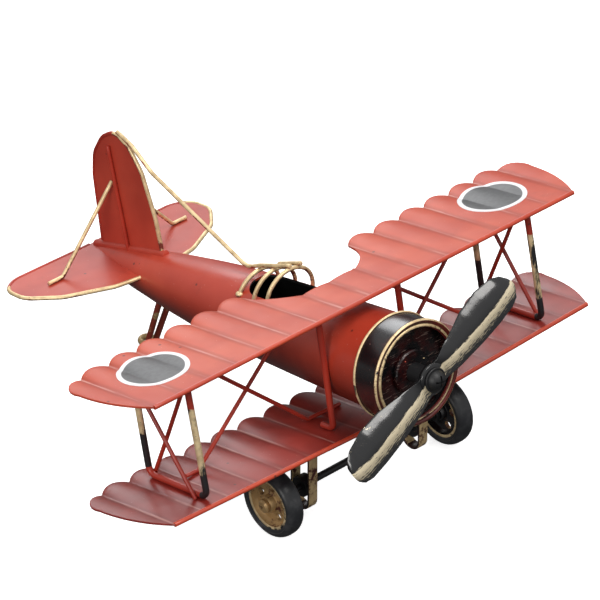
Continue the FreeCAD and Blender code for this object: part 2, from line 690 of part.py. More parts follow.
# ---------------------------------------------------------------- assembly
def build_all():
    """Every piece in the standing frame, by node name."""
    tube_outer, tube_shell = build_fuselage()
    fuselage_outer = droop(tube_outer)
    upper = Wing(upper_lead_y, upper_lead_z, 0.0, True)
    lower = Wing(lower_lead_y, lower_lead_z, lower_dihedral, False)
    tail = build_tail(fuselage_outer)
    nose = {"propeller": build_propeller()}
    nose.update(build_cowl())
    nose.update(build_shaft())
    flight = {name: droop(shape) for name, shape in nose.items()}
    flight.update({"fuselage_shell": droop(tube_shell).cut(tail["tailplane"]),
                   "upper_wing": upper.sheet(), "lower_wing": lower.sheet()})
    flight.update(build_struts(upper, lower, fuselage_outer))
    flight.update(tail)
    flight.update(build_canopy(fuselage_outer, tail["fin_edge_wire"]))
    for name, side in SIDES.items():
        flight["wing_badge_" + name] = upper.badge(side)
    pieces = {name: stand(shape) for name, shape in flight.items()}
    pieces.update(build_gear(lower))
    pieces["tail_skid"] = build_skid(stand(fuselage_outer))
    return pieces


def main():
    os.makedirs(parts_folder, exist_ok=True)
    pieces = build_all()
    box = FreeCAD.BoundBox()
    for shape in pieces.values():
        box.add(shape.optimalBoundingBox(False, False))
    shift = Vector(0, -(box.YMin + box.YMax) / 2, 0)
    for name, shape in sorted(pieces.items()):
        shape.translate(shift)
        shape.exportStep(os.path.join(parts_folder, name + ".step"))
        solids = len(shape.Solids)
        print(f"{name:34s} solids {solids}  valid {shape.isValid()}  volume {shape.Volume:9.2f}")
    turn = FreeCAD.Rotation(X_AXIS, -fuselage_droop)
    hub = stand_point(turn.multVec(Vector(0, hub_front + hub_thickness / 2, 0))) + shift
    wheel = Vector(wheel_track / 2, wheel_y, wheel_radius) + shift
    print(f"size {box.XLength:.2f} {box.YLength:.2f} {box.ZLength:.2f}  shift {shift.y:.3f}  lowest {box.ZMin:.3f}")
    print(f"propeller centre {hub.x:.3f} {hub.y:.3f} {hub.z:.3f}  port wheel {wheel.x:.3f} {wheel.y:.3f} {wheel.z:.3f}")


main()
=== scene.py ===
"""Tin biplane ornament: the visible model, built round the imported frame."""
import logging
import math
from collections.abc import Callable
from dataclasses import dataclass
from enum import Enum

import bpy
from mathutils import Matrix, Vector, noise


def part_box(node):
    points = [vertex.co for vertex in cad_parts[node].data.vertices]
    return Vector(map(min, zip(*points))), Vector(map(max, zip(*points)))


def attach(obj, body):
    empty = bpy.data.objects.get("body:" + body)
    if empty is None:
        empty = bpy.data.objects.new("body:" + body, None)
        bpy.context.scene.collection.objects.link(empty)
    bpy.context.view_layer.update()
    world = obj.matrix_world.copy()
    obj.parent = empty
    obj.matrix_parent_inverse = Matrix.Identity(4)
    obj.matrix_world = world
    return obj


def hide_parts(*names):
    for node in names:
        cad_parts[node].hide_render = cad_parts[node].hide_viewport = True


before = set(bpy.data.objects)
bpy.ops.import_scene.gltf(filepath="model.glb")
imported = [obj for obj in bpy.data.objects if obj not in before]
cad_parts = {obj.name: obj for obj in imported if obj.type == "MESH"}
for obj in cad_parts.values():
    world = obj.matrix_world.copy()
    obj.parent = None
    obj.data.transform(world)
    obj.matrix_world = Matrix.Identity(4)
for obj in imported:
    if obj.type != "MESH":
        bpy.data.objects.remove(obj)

log = logging.getLogger("tin_biplane")

SIDES = {"port": 1, "starboard": -1}
WHEEL_Y = 21.4            # where the wheels stand behind the flight origin, in millimetres
WAVER_SEED = 1            # any number but 0, which would draw the wires' waver from the clock
Point = tuple[float, float, float]
Row = tuple[float, float]


class Body(Enum):
    """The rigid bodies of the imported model."""

    AIRFRAME = "airframe"
    PROPELLER = "propeller"
    WHEEL_PORT = "wheel_port"
    WHEEL_STARBOARD = "wheel_starboard"


class Frame(Enum):
    """The frame that a piece's millimetres are given in."""

    FLIGHT = "flight"     # fuselage level, origin at the front of the cowl
    NOSE = "nose"         # along the tube's own axis, which falls a little towards the tail
    GROUND = "ground"     # standing on the wheels and the skid


@dataclass(frozen=True)
class Stance:
    """How the model stands, in millimetres and degrees."""

    nose_up: float = 11.2
    droop: float = 0.9
    cowl_height: float = 48.4

    def matrix(self, given: Frame) -> Matrix:
        """The move from a piece's own millimetres to the row frame in metres.

        Args:
            given: the frame that the piece was modelled in.

        Returns:
            The matrix to apply to the piece's mesh.
        """
        low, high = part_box("tyre_port")
        ahead = (low.y + high.y) / 2 - WHEEL_Y / 1000
        move = Matrix.Translation((0, ahead, 0)) @ Matrix.Scale(0.001, 4)
        if given is Frame.GROUND:
            return move
        move = move @ Matrix.Translation((0, 0, self.cowl_height))
        move = move @ Matrix.Rotation(math.radians(-self.nose_up), 4, "X")
        if given is Frame.NOSE:
            move = move @ Matrix.Rotation(math.radians(-self.droop), 4, "X")
        return move


STANCE = Stance()


# ------------------------------------------------------------------ modelling tools
def clear_selection() -> None:
    """Leaves nothing selected, in object mode."""
    if bpy.context.object and bpy.context.object.mode != "OBJECT":
        bpy.ops.object.mode_set(mode="OBJECT")
    bpy.ops.object.select_all(action="DESELECT")


def pick(piece: bpy.types.Object) -> None:
    """Makes one object the only selected and active one."""
    clear_selection()
    piece.select_set(True)
    bpy.context.view_layer.objects.active = piece


def edit(piece: bpy.types.Object, select: bool = True) -> None:
    """Opens a piece in edit mode with all or nothing selected."""
    pick(piece)
    bpy.ops.object.mode_set(mode="EDIT")
    bpy.ops.mesh.select_all(action="SELECT" if select else "DESELECT")


def close_edit() -> None:
    """Goes back to object mode."""
    bpy.ops.object.mode_set(mode="OBJECT")


def tidy_mesh(piece: bpy.types.Object, merge: float = 0.004) -> None:
    """Merges doubles and points the faces outwards."""
    edit(piece)
    bpy.ops.mesh.remove_doubles(threshold=merge)
    bpy.ops.mesh.normals_make_consistent(inside=False)
    close_edit()


def apply_modifier(piece: bpy.types.Object, kind: str, **settings: object) -> None:
    """Adds one modifier with its settings and applies it."""
    pick(piece)
    bpy.ops.object.modifier_add(type=kind)
    modifier = piece.modifiers[-1]
    for name, value in settings.items():
        setattr(modifier, name, value)
    bpy.ops.object.modifier_apply(modifier=modifier.name)


def apply_transform() -> None:
    """Makes the active piece's own move, turn and scale part of its mesh."""
    bpy.ops.object.transform_apply(location=True, rotation=True, scale=True)


def drawn(operator: Callable, **settings: object) -> bpy.types.Object:
    """Adds one primitive, alone in the selection.

    Args:
        operator: Blender's operator that adds it.
        settings: the operator's settings.

    Returns:
        The new object.
    """
    clear_selection()
    operator(**settings)
    return bpy.context.object


def combine(piece: bpy.types.Object, other: bpy.types.Object, operation: str) -> None:
    """Combines two closed meshes and discards the second."""
    apply_modifier(piece, "BOOLEAN", operation=operation, object=other, solver="EXACT")
    bpy.data.objects.remove(other)


def cut_away(piece: bpy.types.Object, cutter: bpy.types.Object) -> None:
    """Cuts one closed mesh out of another and discards the cutter."""
    combine(piece, cutter, "DIFFERENCE")


def join(first: bpy.types.Object, *others: bpy.types.Object) -> bpy.types.Object:
    """Joins pieces into the first one."""
    pick(first)
    for other in others:
        other.select_set(True)
    bpy.ops.object.join()
    return first


def soften(piece: bpy.types.Object, width: float, segments: int = 2, angle: float = 40.0) -> None:
    """Rounds a piece's sharp edges."""
    apply_modifier(piece, "BEVEL", width=width, segments=segments, limit_method="ANGLE",
                   angle_limit=math.radians(angle), harden_normals=False)


def turned(rows: list[tuple[float, float]], axis: str = "Y", sides: int = 64, ring: bool = False,
           centre: Point = (0, 0, 0)) -> bpy.types.Object:
    """A turned shape, drawn out ring by ring along an axis.

    Args:
        rows: distance along the axis and radius of each ring.
        axis: "X" or "Y".
        sides: number of points round the shape.
        ring: whether the last row joins the first, as on a tube or a tyre.
        centre: the point that the axis passes through.

    Returns:
        The new object.
    """
    sideways = axis == "X"
    along = Vector((1, 0, 0)) if sideways else Vector((0, 1, 0))
    turn = (0, math.pi / 2, 0) if sideways else (math.pi / 2, 0, 0)
    middle = Vector(centre)
    rows = rows + rows[:1] if ring else rows
    place, radius = rows[0]
    piece = drawn(bpy.ops.mesh.primitive_circle_add, vertices=sides, radius=radius, rotation=turn,
                  location=middle + along * place, fill_type="NOTHING" if ring else "NGON")
    apply_transform()
    edit(piece)
    for place_next, radius_next in rows[1:]:
        bpy.ops.mesh.extrude_region_move(TRANSFORM_OT_translate={"value": along * (place_next - place)})
        share = radius_next / radius
        size = (1, share, share) if sideways else (share, 1, share)
        bpy.ops.transform.resize(value=size, center_override=middle + along * place_next)
        place, radius = place_next, radius_next
    close_edit()
    tidy_mesh(piece)
    return piece


def tube(start: float, end: float, outer: float, inner: float, axis: str = "Y", edge: float = 0.08,
         centre: Point = (0, 0, 0), sides: int = 64) -> bpy.types.Object:
    """A short tube with softened edges."""
    rows = [(start, inner), (start, outer - edge), (start + edge, outer), (end - edge, outer),
            (end, outer - edge), (end, inner)]
    return turned(rows, axis, sides, True, centre)


def torus(middle: Point, major: float, minor: float, turn: Point = (math.pi / 2, 0, 0)) -> bpy.types.Object:
    """A round wire ring, across the fuselage unless it is turned."""
    piece = drawn(bpy.ops.mesh.primitive_torus_add, location=middle, rotation=turn, major_radius=major,
                  minor_radius=minor, major_segments=112, minor_segments=16)
    apply_transform()
    return piece


def bent_route(points: list[Point], bend: float, steps: int = 6) -> list[Vector]:
    """Stations along straight runs whose corners are rounded by tangent arcs.

    Args:
        points: the corners of the route.
        bend: the largest radius of a corner.
        steps: stations on each corner.

    Returns:
        The stations in order.
    """
    corners = [Vector(p) for p in points]
    route = [corners[0]]
    for before, corner, after in zip(corners, corners[1:], corners[2:]):
        back, ahead = (before - corner).normalized(), (after - corner).normalized()
        half = back.angle(ahead) / 2
        room = 0.45 * min((before - corner).length, (after - corner).length)
        leg = min(bend / math.tan(half), room)
        radius = leg * math.tan(half)
        middle = corner + (back + ahead).normalized() * (radius / math.sin(half))
        first, last = corner + back * leg - middle, corner + ahead * leg - middle
        sweep = first.angle(last)
        for step in range(steps + 1):
            share = step / steps
            route.append(middle + (first * math.sin((1 - share) * sweep) + last * math.sin(share * sweep))
                         / math.sin(sweep))
    route.append(corners[-1])
    return route


def straight_curve(points: list[Vector], closed: bool = False) -> bpy.types.Object:
    """A curve of straight runs.

    Args:
        points: the points that it passes through.
        closed: whether the last point joins the first.

    Returns:
        The curve.
    """
    drawn(bpy.ops.curve.primitive_nurbs_path_add, enter_editmode=True)
    bpy.ops.curve.select_all(action="SELECT")
    bpy.ops.curve.delete(type="VERT")
    for point in points:
        bpy.ops.curve.vertex_add(location=point)
    bpy.ops.curve.select_all(action="SELECT")
    bpy.ops.curve.spline_type_set(type="POLY")
    if closed:
        bpy.ops.curve.cyclic_toggle()
    close_edit()
    return bpy.context.object


def curve_to_mesh(curve: bpy.types.Object) -> bpy.types.Object:
    """Makes a curve a clean mesh."""
    pick(curve)
    bpy.ops.object.convert(target="MESH")
    piece = bpy.context.object
    tidy_mesh(piece)
    return piece


def wire(route: list[Vector], diameter: float, waver: float = 0.0, seed: int = 0) -> bpy.types.Object:
    """A round wire through the stations, drawn as a bevelled curve and made a mesh.

    Args:
        route: the stations.
        diameter: the wire's diameter.
        waver: how far hand-bending moves it off its line.
        seed: which waver.

    Returns:
        The new object.
    """
    shift = Vector((seed * 7.3, 0, 0))
    curve = straight_curve([p + noise.noise_vector(p * 0.09 + shift) * waver for p in finer(route, 2.5)])
    curve.data.bevel_depth = diameter / 2
    curve.data.bevel_resolution = 4
    curve.data.use_fill_caps = True
    piece = curve_to_mesh(curve)
    soften(piece, diameter * 0.12, 2, 60)
    return piece


def finer(route: list[Vector], step: float) -> list[Vector]:
    """The same route with long runs divided."""
    stations = [route[0]]
    for start, end in zip(route, route[1:]):
        parts = max(1, math.ceil((end - start).length / step))
        if (end - start).length < 1e-4:
            continue
        stations += [start.lerp(end, number / parts) for number in range(1, parts + 1)]
    return stations


def arc_route(start: Point, crown: Point, end: Point, steps: int = 28) -> list[Vector]:
    """Stations on the circle through three points."""
    a, b, c = Vector(start), Vector(crown), Vector(end)
    normal = (b - a).cross(c - a)
    centre = a + ((c - a).length_squared * normal.cross(b - a) + (b - a).length_squared
                  * (c - a).cross(normal)) / (2 * normal.length_squared)
    spin = (a - centre).angle(b - centre) + (b - centre).angle(c - centre)
    return [centre + Matrix.Rotation(spin * k / steps, 3, normal) @ (a - centre) for k in range(steps + 1)]


def on_arc(points: tuple[Row, Row, Row], x: float) -> float:
    """The height at x of the circle through three points, on the side of the points."""
    (x1, y1), (x2, y2), (x3, y3) = points
    twice = 2 * (x1 * (y2 - y3) + x2 * (y3 - y1) + x3 * (y1 - y2))
    sizes = [px * px + py * py for px, py in points]
    cx = (sizes[0] * (y2 - y3) + sizes[1] * (y3 - y1) + sizes[2] * (y1 - y2)) / twice
    cy = (sizes[0] * (x3 - x2) + sizes[1] * (x1 - x3) + sizes[2] * (x2 - x1)) / twice
    radius = math.hypot(x1 - cx, y1 - cy)
    reach = math.sqrt(max(0.0, radius ** 2 - (x - cx) ** 2))
    straight = y3 + (y1 - y3) * (x - x3) / (x1 - x3)
    return min((cy + reach, cy - reach), key=lambda y: abs(y - straight))


def sheet_from_outline(outline: list[Vector], thickness: float) -> bpy.types.Object:
    """A flat sheet in the XY plane, drawn as a filled curve and made a mesh, centred on its plane."""
    curve = straight_curve(outline, closed=True)
    curve.data.dimensions = "2D"
    curve.data.fill_mode = "BOTH"
    curve.data.extrude = thickness / 2
    return curve_to_mesh(curve)


def bead_at(spot: Point, radius: float, squash: float = 0.8) -> bpy.types.Object:
    """A small blob of solder."""
    piece = drawn(bpy.ops.mesh.primitive_ico_sphere_add, subdivisions=3, radius=radius, location=spot)
    piece.scale = (1.0, 1.15, squash)
    apply_transform()
    return piece


def dress(piece: bpy.types.Object, finish: bpy.types.Material) -> bpy.types.Object:
    """Gives a whole mesh one finish."""
    piece.data.materials.clear()
    piece.data.materials.append(finish)
    return piece


def dress_where(piece: bpy.types.Object, finish: bpy.types.Material,
                chosen: Callable[[Vector, Vector], bool]) -> None:
    """Adds a finish to the faces whose centre and normal are chosen."""
    piece.data.materials.append(finish)
    number = len(piece.data.materials) - 1
    for face in piece.data.polygons:
        if chosen(face.center, face.normal):
            face.material_index = number


def mirrored(piece: bpy.types.Object) -> bpy.types.Object:
    """A copy of a piece on the other side of the model."""
    pick(piece)
    bpy.ops.object.duplicate()
    twin = bpy.context.object
    edit(twin)
    bpy.ops.transform.mirror(orient_type="GLOBAL", constraint_axis=(True, False, False),
                             center_override=(0, 0, 0))
    bpy.ops.mesh.flip_normals()
    close_edit()
    return twin


def place(name: str, piece: bpy.types.Object, nodes: tuple[str, ...] | str, slot: str,
          given: Frame = Frame.FLIGHT, smooth: float = 40.0, body: Body = Body.AIRFRAME) -> bpy.types.Object:
    """Moves a finished mesh into the row frame and hangs it on its body.

    Args:
        name: the piece's name.
        piece: the dressed mesh, in millimetres.
        nodes: the CAD nodes that it stands for.
        slot: the record's material slot; not used.
        given: the frame that the mesh was modelled in.
        smooth: edges sharper than this many degrees stay sharp.
        body: the rigid body that it rides on.

    Returns:
        The finished object.
    """
    piece.data.transform(STANCE.matrix(given))
    piece.name = piece.data.name = name
    pick(piece)
    bpy.ops.object.shade_smooth_by_angle(angle=math.radians(smooth))
    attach(piece, body.value)
    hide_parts(*([nodes] if isinstance(nodes, str) else nodes))
    log.info("%s rides on %s and has %d faces", name, body.value, len(piece.data.polygons))
    return piece


def place_pair(name: str, piece: bpy.types.Object, node: str, slot: str) -> None:
    """Places a port piece and its mirror image.

    Args:
        name: the pieces' name, without its side.
        piece: the dressed port mesh.
        node: the CAD nodes' name, without its side.
        slot: the record's material slot.
    """
    twin = mirrored(piece)
    place(name + "_port", piece, node + "_port", slot)
    place(name + "_starboard", twin, node + "_starboard", slot)


# ------------------------------------------------------------------ finishes
def new_group(name: str, inputs: dict[str, object], outputs: str) -> tuple:
    """A node group with its sockets: three numbers make a vector, four a colour, one a value.

    Args:
        name: the group's name.
        inputs: each input's name and value, in order.
        outputs: the outputs' names, with spaces between.

    Returns:
        The group, its graph, its inputs' sockets and its output node.
    """
    group = bpy.data.node_groups.new(name, "ShaderNodeTree")
    kinds = {3: "NodeSocketVector", 4: "NodeSocketColor"}
    for label, value in inputs.items():
        kind = kinds.get(len(value), "") if isinstance(value, tuple) else "NodeSocketFloat"
        group.interface.new_socket(name=label, in_out="INPUT", socket_type=kind).default_value = value
    for label in outputs.split():
        kind = "NodeSocketColor" if label == "Color" else "NodeSocketFloat"
        group.interface.new_socket(name=label, in_out="OUTPUT", socket_type=kind)
    graph = Graph(group)
    return group, graph, graph.add("NodeGroupInput").outputs, graph.add("NodeGroupOutput")


class Graph:
    """A small helper that adds and links nodes in one tree."""

    def __init__(self, tree: bpy.types.NodeTree) -> None:
        """Keeps the tree that the nodes go in."""
        self.tree = tree

    def add(self, kind: str, **settings: object) -> bpy.types.Node:
        """Adds a node, sets its properties and feeds its named inputs."""
        node = self.tree.nodes.new(kind)
        for name, value in settings.items():
            setattr(node, name, value)
        return node

    def feed(self, node: bpy.types.Node, **inputs: object) -> bpy.types.Node:
        """Sets or links inputs by name, with spaces written as underscores."""
        for name, value in inputs.items():
            socket = node.inputs[name.replace("_", " ")]
            if isinstance(value, bpy.types.NodeSocket):
                self.tree.links.new(value, socket)
            else:
                socket.default_value = value
        return node

    def link(self, source: bpy.types.NodeSocket, target: bpy.types.NodeSocket) -> None:
        """Links one socket to another."""
        self.tree.links.new(source, target)

    def ramp(self, value: bpy.types.NodeSocket, low: float, high: float) -> bpy.types.NodeSocket:
        """Spreads a range of values over 0 to 1, smoothly."""
        node = self.add("ShaderNodeMapRange", interpolation_type="SMOOTHSTEP")
        self.feed(node, Value=value, From_Min=low, From_Max=high)
        return node.outputs["Result"]

    def maths(self, operation: str, first: object, second: object = 0.0) -> bpy.types.NodeSocket:
        """One arithmetic step."""
        node = self.add("ShaderNodeMath", operation=operation)
        for number, value in enumerate((first, second)):
            if isinstance(value, bpy.types.NodeSocket):
                self.link(value, node.inputs[number])
            else:
                node.inputs[number].default_value = value
        return node.outputs[0]

    def mix(self, factor: object, first: object, second: object) -> bpy.types.NodeSocket:
        """A blend of two colours."""
        node = self.add("ShaderNodeMix", data_type="RGBA")
        for socket, value in ((node.inputs[0], factor), (node.inputs[6], first), (node.inputs[7], second)):
            if isinstance(value, bpy.types.NodeSocket):
                self.link(value, socket)
            else:
                socket.default_value = value
        return node.outputs[2]

    def axes(self, vector: bpy.types.NodeSocket) -> bpy.types.NodeOutputs:
        """A vector's three numbers."""
        node = self.add("ShaderNodeSeparateXYZ")
        self.link(vector, node.inputs[0])
        return node.outputs

    def facing(self) -> bpy.types.NodeOutputs:
        """The direction that the surface faces."""
        return self.axes(self.add("ShaderNodeNewGeometry").outputs["Normal"])

    def use(self, group: bpy.types.NodeTree, **inputs: object) -> bpy.types.NodeOutputs:
        """A shared group with its inputs fed."""
        return self.feed(self.add("ShaderNodeGroup", node_tree=group), **inputs).outputs

    def grain(self, where: bpy.types.NodeSocket, scale: object, detail: float = 4.0,
              rough: float = 0.55) -> bpy.types.NodeSocket:
        """A noise pattern's value."""
        node = self.add("ShaderNodeTexNoise")
        self.feed(node, Vector=where, Scale=scale, Detail=detail, Roughness=rough)
        return node.outputs["Fac"]


def flecks_group() -> bpy.types.NodeTree:
    """Small scattered specks: dust and paint nibs.

    Returns:
        A group with Where, Scale and Amount in and Mask out.
    """
    group, graph, given, out = new_group("flecks", {"Where": (0, 0, 0), "Scale": 900.0, "Amount": 0.2}, "Mask")
    cells = graph.feed(graph.add("ShaderNodeTexVoronoi"), Vector=given["Where"], Scale=given["Scale"])
    near = graph.ramp(cells.outputs["Distance"], 0.22, 0.10)
    sparse = graph.add("ShaderNodeSeparateColor")
    graph.link(cells.outputs["Color"], sparse.inputs[0])
    chosen = graph.maths("LESS_THAN", sparse.outputs[0], given["Amount"])
    graph.link(graph.maths("MULTIPLY", near, chosen), out.inputs["Mask"])
    return group


def enamel_group(flecks: bpy.types.NodeTree) -> bpy.types.NodeTree:
    """Sprayed enamel on hammered tin: cloudy tone, faint grime, nibs and specks.

    Args:
        flecks: the specks group, which this one uses twice.

    Returns:
        A group with colours and amounts in, and Color, Roughness and Height out.
    """
    group, graph, given, out = new_group("enamel", {
        "Where": (0, 0, 0), "Light tone": (0.6, 0.1, 0.06, 1), "Deep tone": (0.4, 0.04, 0.02, 1), "Grime": 0.3,
        "Gloss spread": 0.1, "Base roughness": 0.4}, "Color Roughness Height")
    where = given["Where"]
    clouds = graph.ramp(graph.grain(where, 38.0, 3.0), 0.35, 0.7)
    tone = graph.mix(clouds, given["Deep tone"], given["Light tone"])
    fine = graph.grain(where, 700.0, 3.0)
    grimy = graph.ramp(graph.grain(where, 110.0, 6.0, 0.7), 0.56, 0.78)
    grimy = graph.maths("MULTIPLY", grimy, given["Grime"])
    tone = graph.mix(grimy, tone, (0.16, 0.03, 0.02, 1))
    dark = graph.use(flecks, Where=where, Scale=420.0, Amount=0.035)["Mask"]
    tone = graph.mix(graph.maths("MULTIPLY", dark, 0.75), tone, (0.05, 0.015, 0.01, 1))
    pale = graph.use(flecks, Where=where, Scale=1300.0, Amount=0.05)["Mask"]
    tone = graph.mix(graph.maths("MULTIPLY", pale, 0.35), tone, (0.75, 0.4, 0.32, 1))
    spread = graph.maths("MULTIPLY", graph.grain(where, 160.0, 4.0), given["Gloss spread"])
    rough = graph.maths("ADD", spread, given["Base roughness"])
    lumps = graph.maths("MULTIPLY", graph.grain(where, 90.0, 2.0), 0.8)
    height = graph.maths("ADD", lumps, graph.maths("MULTIPLY", fine, 0.12))
    height = graph.maths("ADD", height, graph.maths("MULTIPLY", pale, 0.1))
    graph.feed(out, Color=tone, Roughness=rough, Height=height)
    return group


def dry_brush_group(flecks: bpy.types.NodeTree) -> bpy.types.NodeTree:
    """Gold rubbed over a dark coat, patchy and streaked, so that the dark shows through.

    Args:
        flecks: the specks group.

    Returns:
        A group with colours, coverage and stroke stretch in, and Color, Metallic, Roughness and Height out.
    """
    group, graph, given, out = new_group("dry brush", {
        "Where": (0, 0, 0), "Gold": (0.7, 0.52, 0.28, 1), "Under": (0.01, 0.01, 0.012, 1), "Coverage": 0.6,
        "Stroke": (1, 1, 1)}, "Color Metallic Roughness Height")
    stroke = graph.add("ShaderNodeVectorMath", operation="MULTIPLY")
    graph.link(given["Where"], stroke.inputs[0])
    graph.link(given["Stroke"], stroke.inputs[1])
    patch = graph.grain(stroke.outputs[0], 260.0, 6.0, 0.7)
    broad = graph.grain(given["Where"], 95.0, 2.0)
    mixed = graph.maths("ADD", graph.maths("MULTIPLY", patch, 0.65), graph.maths("MULTIPLY", broad, 0.35))
    edge = graph.maths("SUBTRACT", graph.maths("ADD", mixed, given["Coverage"]), 1.0)
    worn = graph.ramp(edge, -0.035, 0.035)
    specks = graph.use(flecks, Where=given["Where"], Scale=1500.0, Amount=0.35)["Mask"]
    worn = graph.maths("MULTIPLY", worn, graph.maths("SUBTRACT", 1.0, graph.maths("MULTIPLY", specks, 0.8)))
    aged = graph.mix(graph.ramp(graph.grain(given["Where"], 420.0, 3.0), 0.35, 0.7), given["Gold"],
                     (0.36, 0.22, 0.09, 1))
    aged = graph.mix(0.45, given["Gold"], aged)
    rough = graph.maths("ADD", 0.34, graph.maths("MULTIPLY", graph.grain(given["Where"], 500.0), 0.22))
    height = graph.maths("ADD", graph.maths("MULTIPLY", worn, 0.3), graph.maths("MULTIPLY", patch, 0.5))
    graph.feed(out, Color=graph.mix(worn, given["Under"], aged), Metallic=graph.maths("MULTIPLY", worn, 0.50),
               Roughness=rough, Height=height)
    return group


class Paintbox:
    """The shader groups, and the principled material that each finish starts from."""

    def __init__(self) -> None:
        """Builds each shared group once."""
        self.flecks = flecks_group()
        self.enamel = enamel_group(self.flecks)
        self.dry_brush = dry_brush_group(self.flecks)

    def start(self, name: str, bump: float, distance: float = 0.0002) -> tuple:
        """A new material.

        Args:
            name: the material's name.
            bump: strength of the bump.
            distance: depth of the bump in metres.

        Returns:
            The material, its graph, the shader, the bump node and the object coordinates.
        """
        material = bpy.data.materials.new(name)
        material.use_nodes = True
        material.node_tree.nodes.clear()
        graph = Graph(material.node_tree)
        out = graph.add("ShaderNodeOutputMaterial")
        shader = graph.add("ShaderNodeBsdfPrincipled")
        graph.link(shader.outputs[0], out.inputs["Surface"])
        knock = graph.feed(graph.add("ShaderNodeBump"), Strength=bump, Distance=distance)
        graph.link(knock.outputs[0], shader.inputs["Normal"])
        where = graph.add("ShaderNodeTexCoord").outputs["Object"]
        return material, graph, shader, knock, where


@dataclass(frozen=True)
class Enamel:
    """Satin enamel on tin."""

    name: str
    light: Point
    deep: Point
    grime: float = 0.25
    rough: float = 0.36
    bump: float = 0.25
    coat: float = 0.15
    # crease: flute width for the painted highlight and shade along the creases, 0 for none
    crease: float = 0.0
    painted_belly_shade: float = 0.0
    shine: float = 0.5

    def make(self, box: Paintbox) -> bpy.types.Material:
        """Builds the material."""
        material, graph, shader, knock, where = box.start(self.name, self.bump)
        paint = graph.use(box.enamel, Where=where, Light_tone=(*self.light, 1), Deep_tone=(*self.deep, 1),
                          Grime=self.grime, Gloss_spread=0.16, Base_roughness=self.rough)
        colour = paint["Color"]
        # painted highlight and painted shade along the flutes' creases
        if self.crease:
            colour = self.painted_crease_light_and_shade(graph, where, colour)
        if self.painted_belly_shade:
            # painted shade: darker on faces that look downwards
            low = graph.maths("MULTIPLY", graph.ramp(graph.facing()["Z"], 0.45, -0.45), self.painted_belly_shade)
            colour = graph.mix(low, colour, (0.035, 0.006, 0.005, 1))
        graph.feed(shader, Base_Color=colour, Roughness=paint["Roughness"], Specular_IOR_Level=self.shine,
                   Coat_Weight=self.coat, Coat_Roughness=0.25)
        graph.feed(knock, Height=paint["Height"])
        return material

    def painted_crease_light_and_shade(self, graph: Graph, where: bpy.types.NodeSocket,
                     colour: bpy.types.NodeSocket) -> bpy.types.NodeSocket:
        """Painted highlight along the creases between the flutes and painted shade beside them.

        Args:
            graph: the material's graph.
            where: the object coordinates.
            colour: the paint's colour.

        Returns:
            The new colour.
        """
        off = graph.maths("PINGPONG", graph.axes(where)["X"], self.crease / 2)
        ragged = graph.maths("MULTIPLY", graph.maths("SUBTRACT", graph.grain(where, 120.0, 3.0), 0.5), 0.0012)
        off = graph.maths("ADD", off, ragged)
        patchy = graph.ramp(graph.grain(where, 60.0), 0.35, 0.7)
        # painted highlight: a pale line along each crease, in patches
        pale = graph.maths("MULTIPLY", graph.ramp(off, 0.00055, 0.0), patchy)
        # painted shade on the flute beside each crease
        shade = graph.maths("MULTIPLY", graph.ramp(off, 0.0018, 0.0005), 0.30)
        colour = graph.mix(shade, colour, (*(0.35 * tone for tone in self.deep), 1))
        return graph.mix(graph.maths("MULTIPLY", pale, 0.45), colour, (0.85, 0.50, 0.44, 1))


@dataclass(frozen=True)
class RubbedGold:
    """Gold dry-brushed over black or red."""

    name: str
    gold: Point = (0.98, 0.76, 0.44)
    under: Point = (0.008, 0.008, 0.010)
    coverage: float = 0.62
    stroke: Point = (1.0, 1.0, 1.0)
    bump: float = 0.5
    lift: float = 0.0

    def make(self, box: Paintbox) -> bpy.types.Material:
        """Builds the material."""
        material, graph, shader, knock, where = box.start(self.name, self.bump)
        upper = graph.maths("MULTIPLY", graph.facing()["Z"], self.lift)
        brush = graph.use(box.dry_brush, Where=where, Gold=(*self.gold, 1), Under=(*self.under, 1),
                          Stroke=self.stroke, Coverage=graph.maths("ADD", upper, self.coverage))
        graph.feed(shader, Base_Color=brush["Color"], Metallic=brush["Metallic"], Roughness=brush["Roughness"])
        graph.feed(knock, Height=brush["Height"])
        return material


@dataclass(frozen=True)
class BandedStrut:
    """A strut painted in bands by height: red at the top, rubbed gold, black at the foot."""

    name: str
    red_above: float
    black_below: float

    def make(self, box: Paintbox) -> bpy.types.Material:
        """Builds the material."""
        material, graph, shader, knock, where = box.start(self.name, 0.4)
        brush = graph.use(box.dry_brush, Where=where, Gold=(0.98, 0.78, 0.46, 1), Under=(0.01, 0.01, 0.012, 1),
                          Coverage=0.52, Stroke=(1.4, 1.4, 0.22))
        paint = graph.use(box.enamel, Where=where, Light_tone=(0.50, 0.045, 0.022, 1),
                          Deep_tone=(0.30, 0.022, 0.012, 1), Grime=0.2, Gloss_spread=0.1, Base_roughness=0.34)
        ragged = graph.maths("MULTIPLY", graph.grain(where, 600.0, 3.0), 0.0016)
        height = graph.maths("ADD", graph.axes(where)["Z"], graph.maths("SUBTRACT", ragged, 0.0008))
        red = graph.ramp(height, self.red_above - 0.0002, self.red_above + 0.0002)
        foot = graph.ramp(height, self.black_below + 0.0002, self.black_below - 0.0002)
        colour = graph.mix(red, brush["Color"], paint["Color"])
        colour = graph.mix(foot, colour, (0.012, 0.012, 0.014, 1))
        bare = graph.maths("MULTIPLY", graph.maths("SUBTRACT", 1.0, red), graph.maths("SUBTRACT", 1.0, foot))
        graph.feed(shader, Base_Color=colour, Metallic=graph.maths("MULTIPLY", brush["Metallic"], bare),
                   Roughness=brush["Roughness"])
        graph.feed(knock, Height=brush["Height"])
        return material


